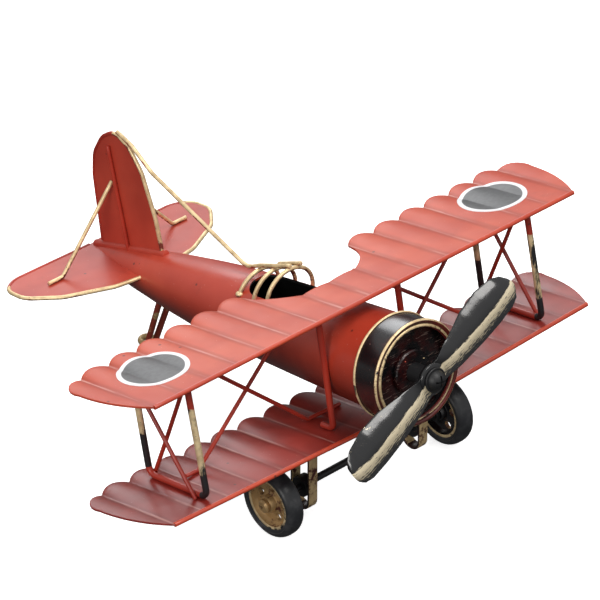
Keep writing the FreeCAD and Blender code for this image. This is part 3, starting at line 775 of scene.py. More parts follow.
@dataclass(frozen=True)
class BladePaint:
    """Black blades with pale gold rubbed along the ridge, by distance across the blade."""

    name: str
    clock: float = 26.0
    ridge: float = 0.0010

    def make(self, box: Paintbox) -> bpy.types.Material:
        """Builds the material."""
        material, graph, shader, knock, where = box.start(self.name, 0.35)
        turn, rise = math.radians(self.clock), math.radians(STANCE.nose_up + STANCE.droop)
        across = Vector((-math.sin(turn), math.cos(turn) * math.sin(rise), math.cos(turn) * math.cos(rise)))
        centre = STANCE.matrix(Frame.NOSE) @ Vector((0, -6.1, 0))
        dot = graph.add("ShaderNodeVectorMath", operation="DOT_PRODUCT")
        graph.link(where, dot.inputs[0])
        dot.inputs[1].default_value = across
        off = graph.maths("SUBTRACT", dot.outputs["Value"], across.dot(centre) + self.ridge)
        along = graph.add("ShaderNodeVectorMath", operation="DOT_PRODUCT")
        graph.link(where, along.inputs[0])
        along.inputs[1].default_value = (math.cos(turn), math.sin(turn) * math.sin(rise),
                                         math.sin(turn) * math.cos(rise))
        brushed = graph.add("ShaderNodeCombineXYZ")
        graph.link(graph.maths("MULTIPLY", along.outputs["Value"], 0.16), brushed.inputs["X"])
        graph.link(off, brushed.inputs["Y"])
        streak = graph.grain(brushed.outputs[0], 2600.0, 4.0, 0.6)
        wander = graph.maths("MULTIPLY", graph.maths("SUBTRACT", graph.grain(where, 90.0, 2.0), 0.5), 0.0022)
        off = graph.maths("ADD", off, wander)
        below = graph.maths("MULTIPLY", graph.ramp(off, 0.0006, -0.0002), graph.ramp(off, -0.0048, -0.0008))
        rubbed = graph.ramp(graph.maths("ADD", streak, graph.maths("MULTIPLY", below, 0.36)), 0.62, 0.80)
        rubbed = graph.maths("MULTIPLY", rubbed, graph.ramp(off, 0.0007, 0.0))
        nicks = graph.ramp(graph.grain(where, 700.0, 6.0, 0.75), 0.62, 0.68)
        rubbed = graph.maths("MAXIMUM", rubbed, graph.maths("MULTIPLY", nicks, graph.ramp(off, 0.0028, 0.0052)))
        dark = graph.mix(graph.ramp(off, 0.0002, -0.0012), (0.006, 0.006, 0.007, 1), (0.10, 0.10, 0.105, 1))
        sheen = graph.maths("MULTIPLY", graph.ramp(off, 0.0002, -0.0012), 0.55)
        graph.feed(shader, Base_Color=graph.mix(rubbed, dark, (1.0, 0.86, 0.60, 1)),
                   Metallic=graph.maths("MAXIMUM", graph.maths("MULTIPLY", rubbed, 0.4), sheen),
                   Roughness=graph.maths("ADD", 0.20, graph.maths("MULTIPLY", rubbed, 0.10)),
                   Coat_Weight=0.6, Coat_Roughness=0.12)
        graph.feed(knock, Height=graph.grain(where, 500.0, 5.0))
        return material


@dataclass(frozen=True)
class Rubber:
    """Satin black rubber with a dusty bloom."""

    name: str = "tyre_rubber"

    def make(self, box: Paintbox) -> bpy.types.Material:
        """Builds the material."""
        material, graph, shader, knock, where = box.start(self.name, 0.25)
        bloom = graph.ramp(graph.grain(where, 220.0, 5.0, 0.65), 0.45, 0.75)
        colour = graph.mix(bloom, (0.022, 0.023, 0.026, 1), (0.055, 0.056, 0.060, 1))
        rough = graph.maths("ADD", 0.36, graph.maths("MULTIPLY", bloom, 0.15))
        graph.feed(shader, Base_Color=colour, Roughness=rough)
        graph.feed(knock, Height=graph.grain(where, 900.0, 4.0))
        return material


@dataclass(frozen=True)
class EngineFace:
    """Black over dark red with fine engraved strokes that hold a little gold."""

    name: str = "engine_face_strokes"

    def make(self, box: Paintbox) -> bpy.types.Material:
        """Builds the material."""
        material, graph, shader, knock, where = box.start(self.name, 0.8)
        place = graph.feed(graph.add("ShaderNodeMapping"), Rotation=(0, math.radians(38), 0),
                           Scale=(0.22, 1.0, 1.6), Vector=where)
        strokes = graph.grain(place.outputs[0], 1500.0, 3.0, 0.5)
        lines = graph.ramp(strokes, 0.60, 0.68)
        patch = graph.ramp(graph.grain(where, 260.0, 3.0), 0.42, 0.66)
        base = graph.mix(patch, (0.003, 0.003, 0.004, 1), (0.030, 0.004, 0.004, 1))
        colour = graph.mix(graph.maths("MULTIPLY", lines, 0.5), base, (0.30, 0.20, 0.17, 1))
        graph.feed(shader, Base_Color=colour, Roughness=0.26)
        graph.feed(knock, Height=strokes)
        return material


@dataclass(frozen=True)
class Sticker:
    """A round printed sticker, dark grey with a white edge, by distance from its centre."""

    name: str
    centre: Vector
    radius: float
    border: float = 0.0013

    def make(self, box: Paintbox) -> bpy.types.Material:
        """Builds the material."""
        material, graph, shader, knock, where = box.start(self.name, 0.1)
        given = graph.axes(where)
        folded = graph.feed(graph.add("ShaderNodeCombineXYZ"), X=graph.maths("ABSOLUTE", given["X"]),
                            Y=given["Y"], Z=given["Z"])
        away = graph.add("ShaderNodeVectorMath", operation="DISTANCE")
        graph.link(folded.outputs[0], away.inputs[0])
        away.inputs[1].default_value = self.centre
        inner = self.radius - self.border
        edge = graph.ramp(away.outputs["Value"], inner - 0.0001, inner + 0.0001)
        print_grain = graph.grain(where, 900.0, 3.0)
        grey = graph.mix(graph.ramp(print_grain, 0.3, 0.7), (0.060, 0.062, 0.064, 1), (0.085, 0.087, 0.09, 1))
        graph.feed(shader, Base_Color=graph.mix(edge, grey, (0.82, 0.82, 0.84, 1)), Roughness=0.38)
        graph.feed(knock, Height=print_grain)
        return material


class Palette:
    """Every finish on the model, by name."""

    def __init__(self) -> None:
        """Mixes each finish once."""
        box = Paintbox()
        flute = (Wing.half_span - Wing.tip_reach) / Wing.scallops / 1000
        finishes = [
            Enamel("wing_enamel", (0.60, 0.098, 0.046), (0.49, 0.062, 0.028), grime=0.2, crease=flute, coat=0.08,
                   shine=0.35),
            Enamel("hem_enamel", (0.62, 0.075, 0.030), (0.50, 0.050, 0.020), grime=0.15, rough=0.30, coat=0.3),
            # the fuselage's underside gets painted shade
            Enamel("body_enamel", (0.58, 0.066, 0.032), (0.46, 0.042, 0.020), rough=0.30, coat=0.35, painted_belly_shade=0.75),
            Enamel("tail_enamel", (0.55, 0.065, 0.035), (0.42, 0.040, 0.022)),
            Enamel("wire_enamel", (0.50, 0.045, 0.022), (0.30, 0.022, 0.012), rough=0.32),
            # a darker copy of the wing enamel: painted shade under the upper wing
            Enamel("lower_wing_shaded_enamel", (0.36, 0.040, 0.028), (0.22, 0.020, 0.014), grime=0.3, rough=0.28,
                   crease=flute, shine=0.4),
            Enamel("groove_red", (0.16, 0.012, 0.008), (0.04, 0.005, 0.004)),
            Enamel("leg_dark", (0.10, 0.016, 0.010), (0.012, 0.007, 0.006)),
            Enamel("cockpit_black", (0.006, 0.005, 0.005), (0.003, 0.003, 0.003), grime=0.0, rough=0.6, coat=0.0),
            Enamel("cowl_enamel", (0.010, 0.009, 0.011), (0.005, 0.004, 0.005), grime=0.3, rough=0.16, coat=0.6),
            Enamel("screw_black", (0.014, 0.014, 0.015), (0.008, 0.008, 0.009), grime=0.0, rough=0.42, coat=0.0),
            RubbedGold("rim_gold", coverage=0.55, lift=0.10),
            RubbedGold("rim_gold_red", under=(0.16, 0.022, 0.012), coverage=0.53, lift=0.16),
            RubbedGold("eyelet_gold", gold=(0.50, 0.36, 0.17), coverage=0.60),
            BladePaint("blade_paint"),
            BandedStrut("back_strut_bands", 0.0700, 0.0370),
            RubbedGold("wire_gold", under=(0.10, 0.018, 0.010), coverage=0.53, lift=0.14),
            RubbedGold("spine_gold", under=(0.30, 0.030, 0.016), coverage=0.52, lift=0.14),
            RubbedGold("wheel_gold", gold=(0.62, 0.40, 0.18), under=(0.09, 0.022, 0.012), coverage=0.54),
            RubbedGold("leg_gold", gold=(0.92, 0.68, 0.36), under=(0.07, 0.012, 0.008), coverage=0.54),
            RubbedGold("skid_red", gold=(0.60, 0.42, 0.20), under=(0.22, 0.030, 0.016), coverage=0.42),
            RubbedGold("axle_black", gold=(0.62, 0.50, 0.32), coverage=0.40, stroke=(0.3, 1.0, 1.0)),
            BandedStrut("front_strut_bands", 0.0555, 0.0370),
            Rubber(),
            EngineFace(),
        ]
        self.made = {finish.name: finish.make(box) for finish in finishes}
        self.box = box

    def __getitem__(self, name: str) -> bpy.types.Material:
        """One finish by name."""
        return self.made[name]

    def add(self, finish: Sticker) -> bpy.types.Material:
        """Mixes one more finish."""
        self.made[finish.name] = finish.make(self.box)
        return self.made[finish.name]


# ------------------------------------------------------------------ sub-assemblies
@dataclass(frozen=True)
class Fuselage:
    """The tapered tin tube with its long cockpit opening."""

    length: float = 136.0
    radius: float = 13.3
    tail_radius: float = 2.3
    wall: float = 0.6
    front: float = 3.5
    cowl_end: float = 8.1
    cockpit: tuple[float, float] = (39.0, 61.0)
    cockpit_half_width: float = 6.2
    taper: tuple[Row, ...] = ((0.0, 1.0), (0.15, 0.958), (0.50, 0.815), (0.68, 0.64), (0.77, 0.52), (0.86, 0.395))

    def stations(self) -> list[Row]:
        """Distance and radius of the taper's stations."""
        run = self.length - self.cowl_end
        rows = [(self.cowl_end + share * run, scale * self.radius) for share, scale in self.taper]
        return rows + [(self.length, self.tail_radius)]

    def half_depth(self, y: float) -> float:
        """The tube's radius at a distance, on a smooth curve through the stations."""
        rows = self.stations()
        if y <= rows[0][0]:
            return self.radius
        for number, ((y0, r0), (y1, r1)) in enumerate(zip(rows, rows[1:])):
            if y <= y1:
                before, after = rows[max(0, number - 1)], rows[min(len(rows) - 1, number + 2)]
                slope_0 = (r1 - before[1]) / (y1 - before[0])
                slope_1 = (after[1] - r0) / (after[0] - y0)
                share, run = (y - y0) / (y1 - y0), y1 - y0
                return ((2 * share ** 3 - 3 * share ** 2 + 1) * r0
                        + (share ** 3 - 2 * share ** 2 + share) * run * slope_0
                        + (3 * share ** 2 - 2 * share ** 3) * r1 + (share ** 3 - share ** 2) * run * slope_1)
        return self.tail_radius

    def centre_height(self, y: float) -> float:
        """Height of the tube's axis in the flight frame."""
        return -math.tan(math.radians(STANCE.droop)) * y

    def build(self, paint: Palette) -> None:
        """Builds the shell."""
        steps = 60
        outer = [(self.front, self.radius - 0.05)]
        outer += [(self.cowl_end + (self.length - self.cowl_end) * k / steps, 0.0) for k in range(steps + 1)]
        outer = [(y, radius or self.half_depth(y)) for y, radius in outer]
        inner = [(y - 1 if number == 0 else y, radius - self.wall) for number, (y, radius) in enumerate(outer)
                 if y < self.length - 5]
        shell = dress(turned(outer, sides=96), paint["body_enamel"])
        cut_away(shell, turned(inner, sides=96))
        cut_away(shell, self.cockpit_cutter())
        tidy_mesh(shell)

        def inside(centre: Vector, normal: Vector) -> bool:
            return centre.x * normal.x + centre.z * normal.z < 0 or centre.y < self.front + 0.1

        dress_where(shell, paint["cockpit_black"], inside)
        place("fuselage_tube", shell, "fuselage_shell", "red_tin", Frame.NOSE, 30)

    def cockpit_cutter(self) -> bpy.types.Object:
        """A tall rounded block over the tube."""
        front, back = self.cockpit
        block = drawn(bpy.ops.mesh.primitive_cube_add, size=1, location=(0, (front + back) / 2, 15))
        block.scale = (2 * self.cockpit_half_width, back - front, 30)
        apply_transform()
        edit(block, select=False)
        bpy.ops.mesh.select_mode(type="EDGE")
        close_edit()
        for edge in block.data.edges:
            ends = [block.data.vertices[number].co for number in edge.vertices]
            edge.select = abs(ends[0].z - ends[1].z) > 1
        bpy.ops.object.mode_set(mode="EDIT")
        bpy.ops.mesh.bevel(offset=self.cockpit_half_width * 0.8, segments=10, affect="EDGES")
        bpy.ops.mesh.select_mode(type="VERT")
        close_edit()
        tidy_mesh(block)
        return block


@dataclass(frozen=True)
class Cowl:
    """The black cowl drum between gold beads, and the engine's face inside it."""

    depth: float = 8.1
    radius: float = 13.3
    wall: float = 0.9
    bead_outer: float = 0.62
    bead_inner: float = 0.55
    bead_gap: float = 1.2
    rear_bead: float = 0.45
    face: tuple[float, float] = (2.5, 3.5)
    boss_radius: float = 6.0
    boss_front: float = 1.0
    solder_ring: float = 4.6

    def build(self, paint: Palette) -> None:
        """Builds the beads, the drum, the face and its boss."""
        outer = self.radius + self.wall
        bead = outer - 0.15
        first = self.gilded(torus((0, 0, 0), bead, self.bead_outer), paint, 0.50, -0.05)
        second = self.gilded(torus((0, 0, 0), bead - self.bead_gap, self.bead_inner), paint, -0.30, -0.55)
        groove = dress(tube(-0.25, 0.25, bead, bead - self.bead_gap), paint["groove_red"])
        place("cowl_front_beads", join(first, second, groove), "cowl_front_ring",
              "gold_over_black_wire", Frame.NOSE)
        rear = self.gilded(torus((0, self.depth, 0), outer, self.rear_bead), paint, 0.45, 0.95)
        place("cowl_rear_bead", rear, "cowl_rear_rim", "gold_over_black_wire", Frame.NOSE)
        drum = tube(self.bead_outer, self.depth - self.rear_bead, outer, self.radius, sides=112)
        place("cowl_drum_sheet", dress(drum, paint["cowl_enamel"]), "cowl_drum", "cowl_black",
              Frame.NOSE)
        face = tube(*self.face, self.radius - 0.02, 1.5, sides=96)
        place("engine_plate", dress(face, paint["engine_face_strokes"]), "engine_face", "cowl_black",
              Frame.NOSE)
        boss = tube(self.boss_front, self.face[0], self.boss_radius, 1.5, edge=0.35, sides=80)
        dress(boss, paint["engine_face_strokes"])
        for hour, tone in ((1, "rim_gold"), (4, "hem_enamel"), (9, "rim_gold")):
            angle = math.tau * hour / 12
            spot = (self.solder_ring * math.cos(angle), self.boss_front + 0.02,
                    self.solder_ring * math.sin(angle))
            join(boss, dress(bead_at(spot, 0.22), paint[tone]))
        place("engine_boss_plate", boss, "engine_boss", "cowl_black", Frame.NOSE)

    def gilded(self, ring: bpy.types.Object, paint: Palette, outwards: float, ahead: float) -> bpy.types.Object:
        """Gold on the part of a dark ring that stands out most.

        Args:
            ring: the ring.
            paint: the finishes.
            outwards: least outward lean of the gilded faces.
            ahead: greatest backward lean of the gilded faces.

        Returns:
            The same ring, dressed.
        """
        dress(ring, paint["groove_red"])

        def proud(centre: Vector, normal: Vector) -> bool:
            away = (centre.x * normal.x + centre.z * normal.z) / math.hypot(centre.x, centre.z)
            return away > outwards and normal.y < ahead

        dress_where(ring, paint["rim_gold"], proud)
        return ring


@dataclass(frozen=True)
class Propeller:
    """The pressed two-blade propeller and the screw that it turns on."""

    radius: float = 34.0
    clock: float = 26.0
    tilt: float = 16.0
    thickness: float = 1.0
    hub_front: float = -6.9
    hub_radius: float = 4.4
    hub_thickness: float = 1.6
    screw_radius: float = 1.5
    head_radius: float = 2.8
    head_height: float = 2.3
    washer_radius: float = 3.4
    washer_thickness: float = 0.6
    spacer_radius: float = 2.6
    play: float = 0.12
    slip: float = 0.05
    nut_across: float = 5.5
    # share of the radius, reach below and above the blade's axis, camber, share of the tilt
    shape: tuple[tuple[float, float, float, float, float], ...] = (
        (0.0, 3.5, 3.5, 0.0, 0.0), (0.13, 3.5, 3.5, 0.5, 0.3), (0.30, 4.0, 4.3, 1.3, 0.7),
        (0.52, 4.5, 6.1, 2.0, 1.0), (0.72, 4.7, 6.5, 2.1, 1.0), (0.88, 4.5, 5.4, 1.8, 1.0),
        (0.97, 3.6, 3.7, 1.2, 1.0), (1.0, 2.2, 2.2, 0.7, 1.0))

    def section(self, share: float) -> tuple[float, float, float, float]:
        """Reach below and above, camber and tilt at a share of the radius."""
        for low, high in zip(self.shape, self.shape[1:]):
            if share <= high[0]:
                part = (share - low[0]) / (high[0] - low[0])
                part = part * part * (3 - 2 * part) if low[0] < 0.3 else part
                return tuple(a + (b - a) * part for a, b in zip(low[1:], high[1:]))
        return self.shape[-1][1:]

    def build(self, paint: Palette) -> None:
        """Builds the propeller, then the fixed parts of its shaft."""
        columns, rows = 121, 25
        strip = drawn(bpy.ops.mesh.primitive_grid_add, x_subdivisions=columns - 1, y_subdivisions=rows - 1,
                      size=1)
        for vertex in strip.data.vertices:
            u, v = vertex.co.x * 2, vertex.co.y * 2
            share = abs(u)
            below, above, camber, tilt = self.section(share)
            across = (above - below) / 2 + v * (above + below) / 2
            lift = -camber * (1 - v * v)
            tip = 0.9 * v * v * max(0.0, (share - 0.9) / 0.1)
            angle = math.radians(-self.tilt * tilt)
            y = lift * math.cos(angle) - across * math.sin(angle)
            z = lift * math.sin(angle) + across * math.cos(angle)
            x = math.copysign(share * self.radius - tip, u) if share > 1e-6 else 0.0
            near = max(0.0, 1 - abs(x) / (self.hub_radius + 1.5))
            y = y * (1 - min(1.0, near * 2.5))
            vertex.co = (x, y + self.hub_front + self.hub_thickness / 2, z)
        apply_modifier(strip, "SOLIDIFY", thickness=self.thickness, offset=0.0, use_even_offset=True)
        soften(strip, 0.18, 2, 50)
        hub = tube(self.hub_front, self.hub_front + self.hub_thickness, self.hub_radius, 0.6, edge=0.2)
        combine(strip, hub, "UNION")
        bore = self.screw_radius + self.slip
        cut_away(strip, turned([(self.hub_front - 4, bore), (self.hub_front + 6, bore)], sides=40))
        strip.data.transform(Matrix.Rotation(math.radians(-self.clock), 4, "Y"))
        tidy_mesh(strip, 0.001)
        place("propeller_blades", dress(strip, paint["blade_paint"]), "propeller", "gold_over_black_wire",
              Frame.NOSE, 50, Body.PROPELLER)
        self.build_shaft(paint)

    def build_shaft(self, paint: Palette) -> None:
        """Builds the screw, washer, spacer and nut."""
        washer_y = self.hub_front - self.play - self.washer_thickness
        head_y = washer_y - self.head_height
        dome = (self.head_radius ** 2 + self.head_height ** 2) / (2 * self.head_height)
        rows = []
        for step in range(1, 13):
            depth = self.head_height * (step / 12) ** 1.4
            rows.append((head_y + depth, math.sqrt(max(0.01, dome ** 2 - (dome - depth) ** 2))))
        rows += [(washer_y, self.screw_radius), (7.1, self.screw_radius)]
        screw = turned(rows, sides=56)
        for turn in (0, 90):
            slot = drawn(bpy.ops.mesh.primitive_cube_add, size=1, location=(0, head_y + 0.1, 0),
                         rotation=(0, math.radians(turn + 12), 0))
            slot.scale = (self.head_radius * 1.15, 1.8, 0.55)
            cut_away(screw, slot)
        soften(screw, 0.06, 2, 50)
        fixed = [("shaft_screw", screw, "propeller_screw"),
                 ("shaft_washer", tube(washer_y, washer_y + self.washer_thickness, self.washer_radius,
                                       self.screw_radius, edge=0.15), "propeller_washer"),
                 ("shaft_spacer", tube(self.hub_front + self.hub_thickness + self.play, 1.0, self.spacer_radius,
                                       self.screw_radius), "propeller_spacer")]
        nut = drawn(bpy.ops.mesh.primitive_cylinder_add, vertices=6, radius=self.nut_across / math.sqrt(3),
                    depth=2.4, location=(0, 4.7, 0), rotation=(math.pi / 2, 0, 0))
        apply_transform()
        cut_away(nut, turned([(3.0, self.screw_radius), (7.5, self.screw_radius)], sides=40))
        fixed.append(("shaft_nut", nut, "propeller_nut"))
        for name, mesh, node in fixed:
            place(name, dress(mesh, paint["screw_black"]), node, "black_hardware", Frame.NOSE)


@dataclass(frozen=True)
class Wing:
    """A tin wing: flat at its hemmed leading edge, fluted and scalloped behind."""

    name: str
    lead: tuple[float, float]
    dihedral: float
    notched: bool
    tone: str
    hem_tone: str
    half_span: float = 80.4
    scallops: int = 8
    tip_reach: float = 6.5
    chord: float = 30.8
    bulge: float = 2.0
    rise: float = 1.08
    fall: float = 1.9
    tin: float = 0.6
    hem_radius: float = 0.65
    hem_bore: float = 0.35
    notch_depth: float = 13.2
    # where the columns stand across each flute, close together at the creases
    across: tuple[float, ...] = (0.0, 0.025, 0.06, 0.12, 0.21, 0.32, 0.44, 0.56, 0.68, 0.79, 0.88, 0.94, 0.975)

    @property
    def pitch(self) -> float:
        """The width of one flute."""
        return (self.half_span - self.tip_reach) / self.scallops

    @property
    def cusp_y(self) -> float:
        """Where the trailing edge's cusps lie."""
        return self.lead[0] + self.chord

    def slope(self) -> float:
        """Rise of the sheet for each millimetre outwards."""
        return math.tan(math.radians(self.dihedral))

    def crest(self, flute: float) -> float:
        """Distance from the centre to a flute's crest."""
        return (flute + 0.5) * self.pitch

    def height(self, x: float, y: float) -> float:
        """Height of the top of the sheet."""
        share = (y - self.lead[0]) / (self.cusp_y + self.bulge + 1.5 - self.lead[0])
        radius = (self.pitch ** 2 / 4 + self.rise ** 2) / (2 * self.rise)
        off = abs(abs(x) % self.pitch - self.pitch / 2)
        off = self.pitch / 2 - math.sqrt((self.pitch / 2 - off) ** 2 + 0.02)
        bump = self.rise - radius + math.sqrt(radius ** 2 - off ** 2)
        shaped = bump * (0.30 + 0.62 * share)
        return self.lead[1] + abs(x) * self.slope() + share * (shaped - self.fall)

    def back_edge(self, x: float) -> float:
        """Where the sheet ends behind a place on the span."""
        x = abs(x)
        if self.notched and x <= self.pitch:
            return self.cusp_y - self.notch_depth
        if self.notched and x < 2 * self.pitch:
            points = ((2 * self.pitch, self.cusp_y), (1.68 * self.pitch, self.cusp_y - 0.62 * self.notch_depth),
                      (self.pitch, self.cusp_y - self.notch_depth))
            return on_arc(points, x)
        off = abs(x % self.pitch - self.pitch / 2)
        radius = (self.pitch ** 2 / 4 + self.bulge ** 2) / (2 * self.bulge)
        return self.cusp_y + self.bulge - radius + math.sqrt(max(0.0, radius ** 2 - off ** 2))

    def tip_edge(self, steps: int) -> list[Vector]:
        """The outline round the tip, from the leading edge's corner to the last cusp."""
        corner, lead, tip = self.scallops * self.pitch, self.lead[0] + self.hem_radius, self.half_span
        split = round(steps * 0.74)
        first = arc_route((corner, lead, 0), (tip - 1.5, lead + 0.39 * self.chord, 0),
                          (tip, lead + 0.74 * self.chord, 0), split)
        last = arc_route((tip, lead + 0.74 * self.chord, 0), (tip - 1.7, lead + 0.94 * self.chord, 0),
                         (corner, self.cusp_y, 0), steps - split)
        return first + last[1:]

    def dent(self, x: float, y: float) -> float:
        """The small unevenness of hand-beaten tin, none at the leading edge."""
        share = max(0.0, (y - self.lead[0]) / self.chord - 0.1)
        return 0.16 * share * noise.noise(Vector((x * 0.11, y * 0.09, self.lead[1])))

    def build(self, paint: Palette) -> None:
        """Builds the sheet and its rolled hem as one piece."""
        columns = [k * self.pitch + share * self.pitch for k in range(self.scallops) for share in self.across]
        corner, lead = self.scallops * self.pitch, self.lead[0] + self.hem_radius
        fan, rows = 10, 26
        half = len(columns) + fan
        tips = self.tip_edge(rows)
        sheet = drawn(bpy.ops.mesh.primitive_grid_add, x_subdivisions=2 * half, y_subdivisions=rows, size=2)
        for vertex in sheet.data.vertices:
            column = round(vertex.co.x * half)
            row = round((vertex.co.y + 1) / 2 * rows)
            place_on, side = abs(column), math.copysign(1, column)
            share = row / rows
            if place_on <= len(columns):
                x = columns[place_on] if place_on < len(columns) else corner
                y = lead + share * (self.back_edge(x) - lead)
            else:
                out = (place_on - len(columns)) / fan
                x = corner + out * (tips[row].x - corner)
                y = lead + share * (self.cusp_y - lead)
                y += out * (tips[row].y - y)
            vertex.co = (side * x, y, self.height(x, y) + self.dent(side * x, y))
        tidy_mesh(sheet)
        if sum(face.normal.z for face in sheet.data.polygons) < 0:
            edit(sheet)
            bpy.ops.mesh.flip_normals()
            close_edit()
        apply_modifier(sheet, "SOLIDIFY", thickness=self.tin, offset=-1.0, use_even_offset=False)
        soften(sheet, 0.12, 2, 60)
        dress(sheet, paint[self.tone])
        middle = Vector((0, self.lead[0] + self.hem_radius, self.lead[1] - self.tin / 2))
        out = Vector((corner, 0, corner * self.slope()))
        back = Vector((-corner, 0, corner * self.slope()))
        hem = wire([middle + back, middle, middle + out], 2 * self.hem_radius)
        for end in (out, back):
            cut_away(hem, drawn(bpy.ops.mesh.primitive_cylinder_add, vertices=20, radius=self.hem_bore, depth=6,
                                location=middle + end, rotation=(0, math.pi / 2, 0)))
        dress(hem, paint[self.hem_tone])
        place(self.name + "_sheet", join(sheet, hem), self.name, "red_tin", smooth=50)


@dataclass(frozen=True)
class Badges:
    """Plain round badges on the upper wing."""

    radius: float = 9.6
    thickness: float = 0.15
    back: float = 18.0
    flute: int = 6

    def build(self, paint: Palette, wing: Wing) -> None:
        """Builds one badge on each side."""
        for name, side in SIDES.items():
            x0, y0 = side * wing.crest(self.flute), wing.lead[0] + self.back
            reach = self.radius + 1
            disc = drawn(bpy.ops.mesh.primitive_grid_add, x_subdivisions=90, y_subdivisions=20, size=2)
            for vertex in disc.data.vertices:
                x, y = x0 + vertex.co.x * reach, y0 + vertex.co.y * reach
                vertex.co = (x, y, wing.height(x, y) + wing.dent(x, y) + self.thickness)
            apply_modifier(disc, "SOLIDIFY", thickness=self.thickness + 0.05, offset=-1.0)
            stamp = drawn(bpy.ops.mesh.primitive_cylinder_add, vertices=96, radius=self.radius, depth=30,
                          location=(x0, y0, wing.lead[1]))
            combine(disc, stamp, "INTERSECT")
            tidy_mesh(disc)
            centre = STANCE.matrix(Frame.FLIGHT) @ Vector((abs(x0), y0, wing.height(x0, y0)))
            if side > 0:
                paint.add(Sticker("badge_print", centre, self.radius / 1000))
            place("wing_badge_disc_" + name, dress(disc, paint["badge_print"]), "wing_badge_" + name,
                  "badge", smooth=50)


@dataclass(frozen=True)
class Struts:
    """Everything that stands between the two wings."""

    thick: float = 1.8
    thin: float = 1.15
    flute: int = 6
    front_foot: float = 3.9
    front_lean: float = 1.3
    back_foot: float = 27.5
    back_lean: float = 0.6
    bend: float = 2.2
    cabane_back: float = 7.0
    cabane_foot: float = 4.5
    bay_back: float = 18.2

    def build(self, paint: Palette, upper: Wing, lower: Wing, tube_shape: Fuselage) -> None:
        """Builds the port side and mirrors it.

        Args:
            paint: the finishes.
            upper: the upper wing.
            lower: the lower wing.
            tube_shape: the fuselage.
        """
        crest, half = lower.crest(self.flute), self.thick / 2
        front_y, back_y = lower.lead[0] + self.front_foot, lower.lead[0] + self.back_foot
        foot_front, foot_back = lower.height(crest, front_y) + half, lower.height(crest, back_y) + half

        def under(x: float, y: float) -> float:
            return upper.height(x, y) - upper.tin - 0.02

        front_top = (crest, front_y + self.front_lean, under(crest, front_y + self.front_lean))
        back_top = (crest, back_y + self.back_lean, under(crest, back_y + self.back_lean))
        corners = [front_top, (crest, front_y, foot_front), (crest, back_y, foot_back), back_top]
        frame_wire = wire(bent_route(corners, self.bend), self.thick)
        dress(frame_wire, paint["wire_enamel"])
        dress_where(frame_wire, paint["front_strut_bands"],
                    lambda centre, normal: centre.y < front_y + 2.6 and centre.z > foot_front - 2)
        dress_where(frame_wire, paint["back_strut_bands"],
                    lambda centre, normal: centre.y > back_y - 4 and centre.z > foot_back + 2.4)
        beside = half + self.thin / 2
        rising = self.trimmed((crest + beside, front_y + 1.0, lower.lead[1] - 1.5),
                              (crest + beside, back_y + 2.6, upper.lead[1] + 1.0), upper, lower, self.thin)
        falling = self.trimmed((crest - beside, front_y + 2.0, upper.lead[1] + 1.0),
                               (crest - beside, back_y + 1.6, lower.lead[1] - 1.5), upper, lower, self.thin)
        bay_y = lower.lead[0] + self.bay_back
        outward = self.bay_brace(upper.pitch, lower.crest(5), lower.crest(5) + 4.2, bay_y + self.thin / 2, upper,
                                 lower)
        inward = self.bay_brace(upper.crest(5), lower.crest(1), 2.5, bay_y - self.thin / 2 - 0.02, upper, lower)
        pieces = [("outer_strut", frame_wire, "gold_over_black_wire"),
                  ("outer_brace_rising", dress(rising, paint["wire_enamel"]), "red_wire"),
                  ("outer_brace_falling", dress(falling, paint["wire_enamel"]), "red_wire"),
                  ("bay_brace_outward", dress(outward, paint["wire_enamel"]), "red_wire"),
                  ("bay_brace_inward", dress(inward, paint["wire_enamel"]), "red_wire")]
        y = lower.lead[0] + self.cabane_back
        x = tube_shape.half_depth(y) + half + 0.05
        foot, end_y = (x, y, lower.height(x, y) + half), y + self.cabane_foot
        toe = (x, end_y, lower.height(x, end_y) + half)
        leg = wire(bent_route([(x, y, under(x, y)), foot, toe], 1.5), self.thick)
        pieces.append(("cabane_strut", dress(leg, paint["wire_enamel"]), "red_wire"))
        for name, mesh, slot in pieces:
            place_pair(name + "_wire", mesh, name, slot)

    def trimmed(self, start: Point, end: Point, upper: Wing, lower: Wing, diameter: float) -> bpy.types.Object:
        """A straight wire, shortened to the space between the wings."""
        first, last = Vector(start), Vector(end)
        inside = [first.lerp(last, k / 800) for k in range(801)]
        inside = [p for p in inside if lower.height(p.x, p.y) < p.z < upper.height(p.x, p.y) - upper.tin]
        return wire([inside[0], inside[-1]], diameter, 0.12, 3)

    def bay_brace(self, top_x: float, foot_x: float, end_x: float, y: float, upper: Wing,
                  lower: Wing) -> bpy.types.Object:
        """A wire from the upper wing to a foot on the lower one."""
        foot_z = lower.height(foot_x, y) + self.thin / 2
        end_z = foot_z + (abs(end_x) - abs(foot_x)) * lower.slope()
        top = (top_x, y, upper.height(top_x, y) - upper.tin)
        route = bent_route([top, (foot_x, y, foot_z), (end_x, y, end_z)], 1.2)
        return wire(route, self.thin)


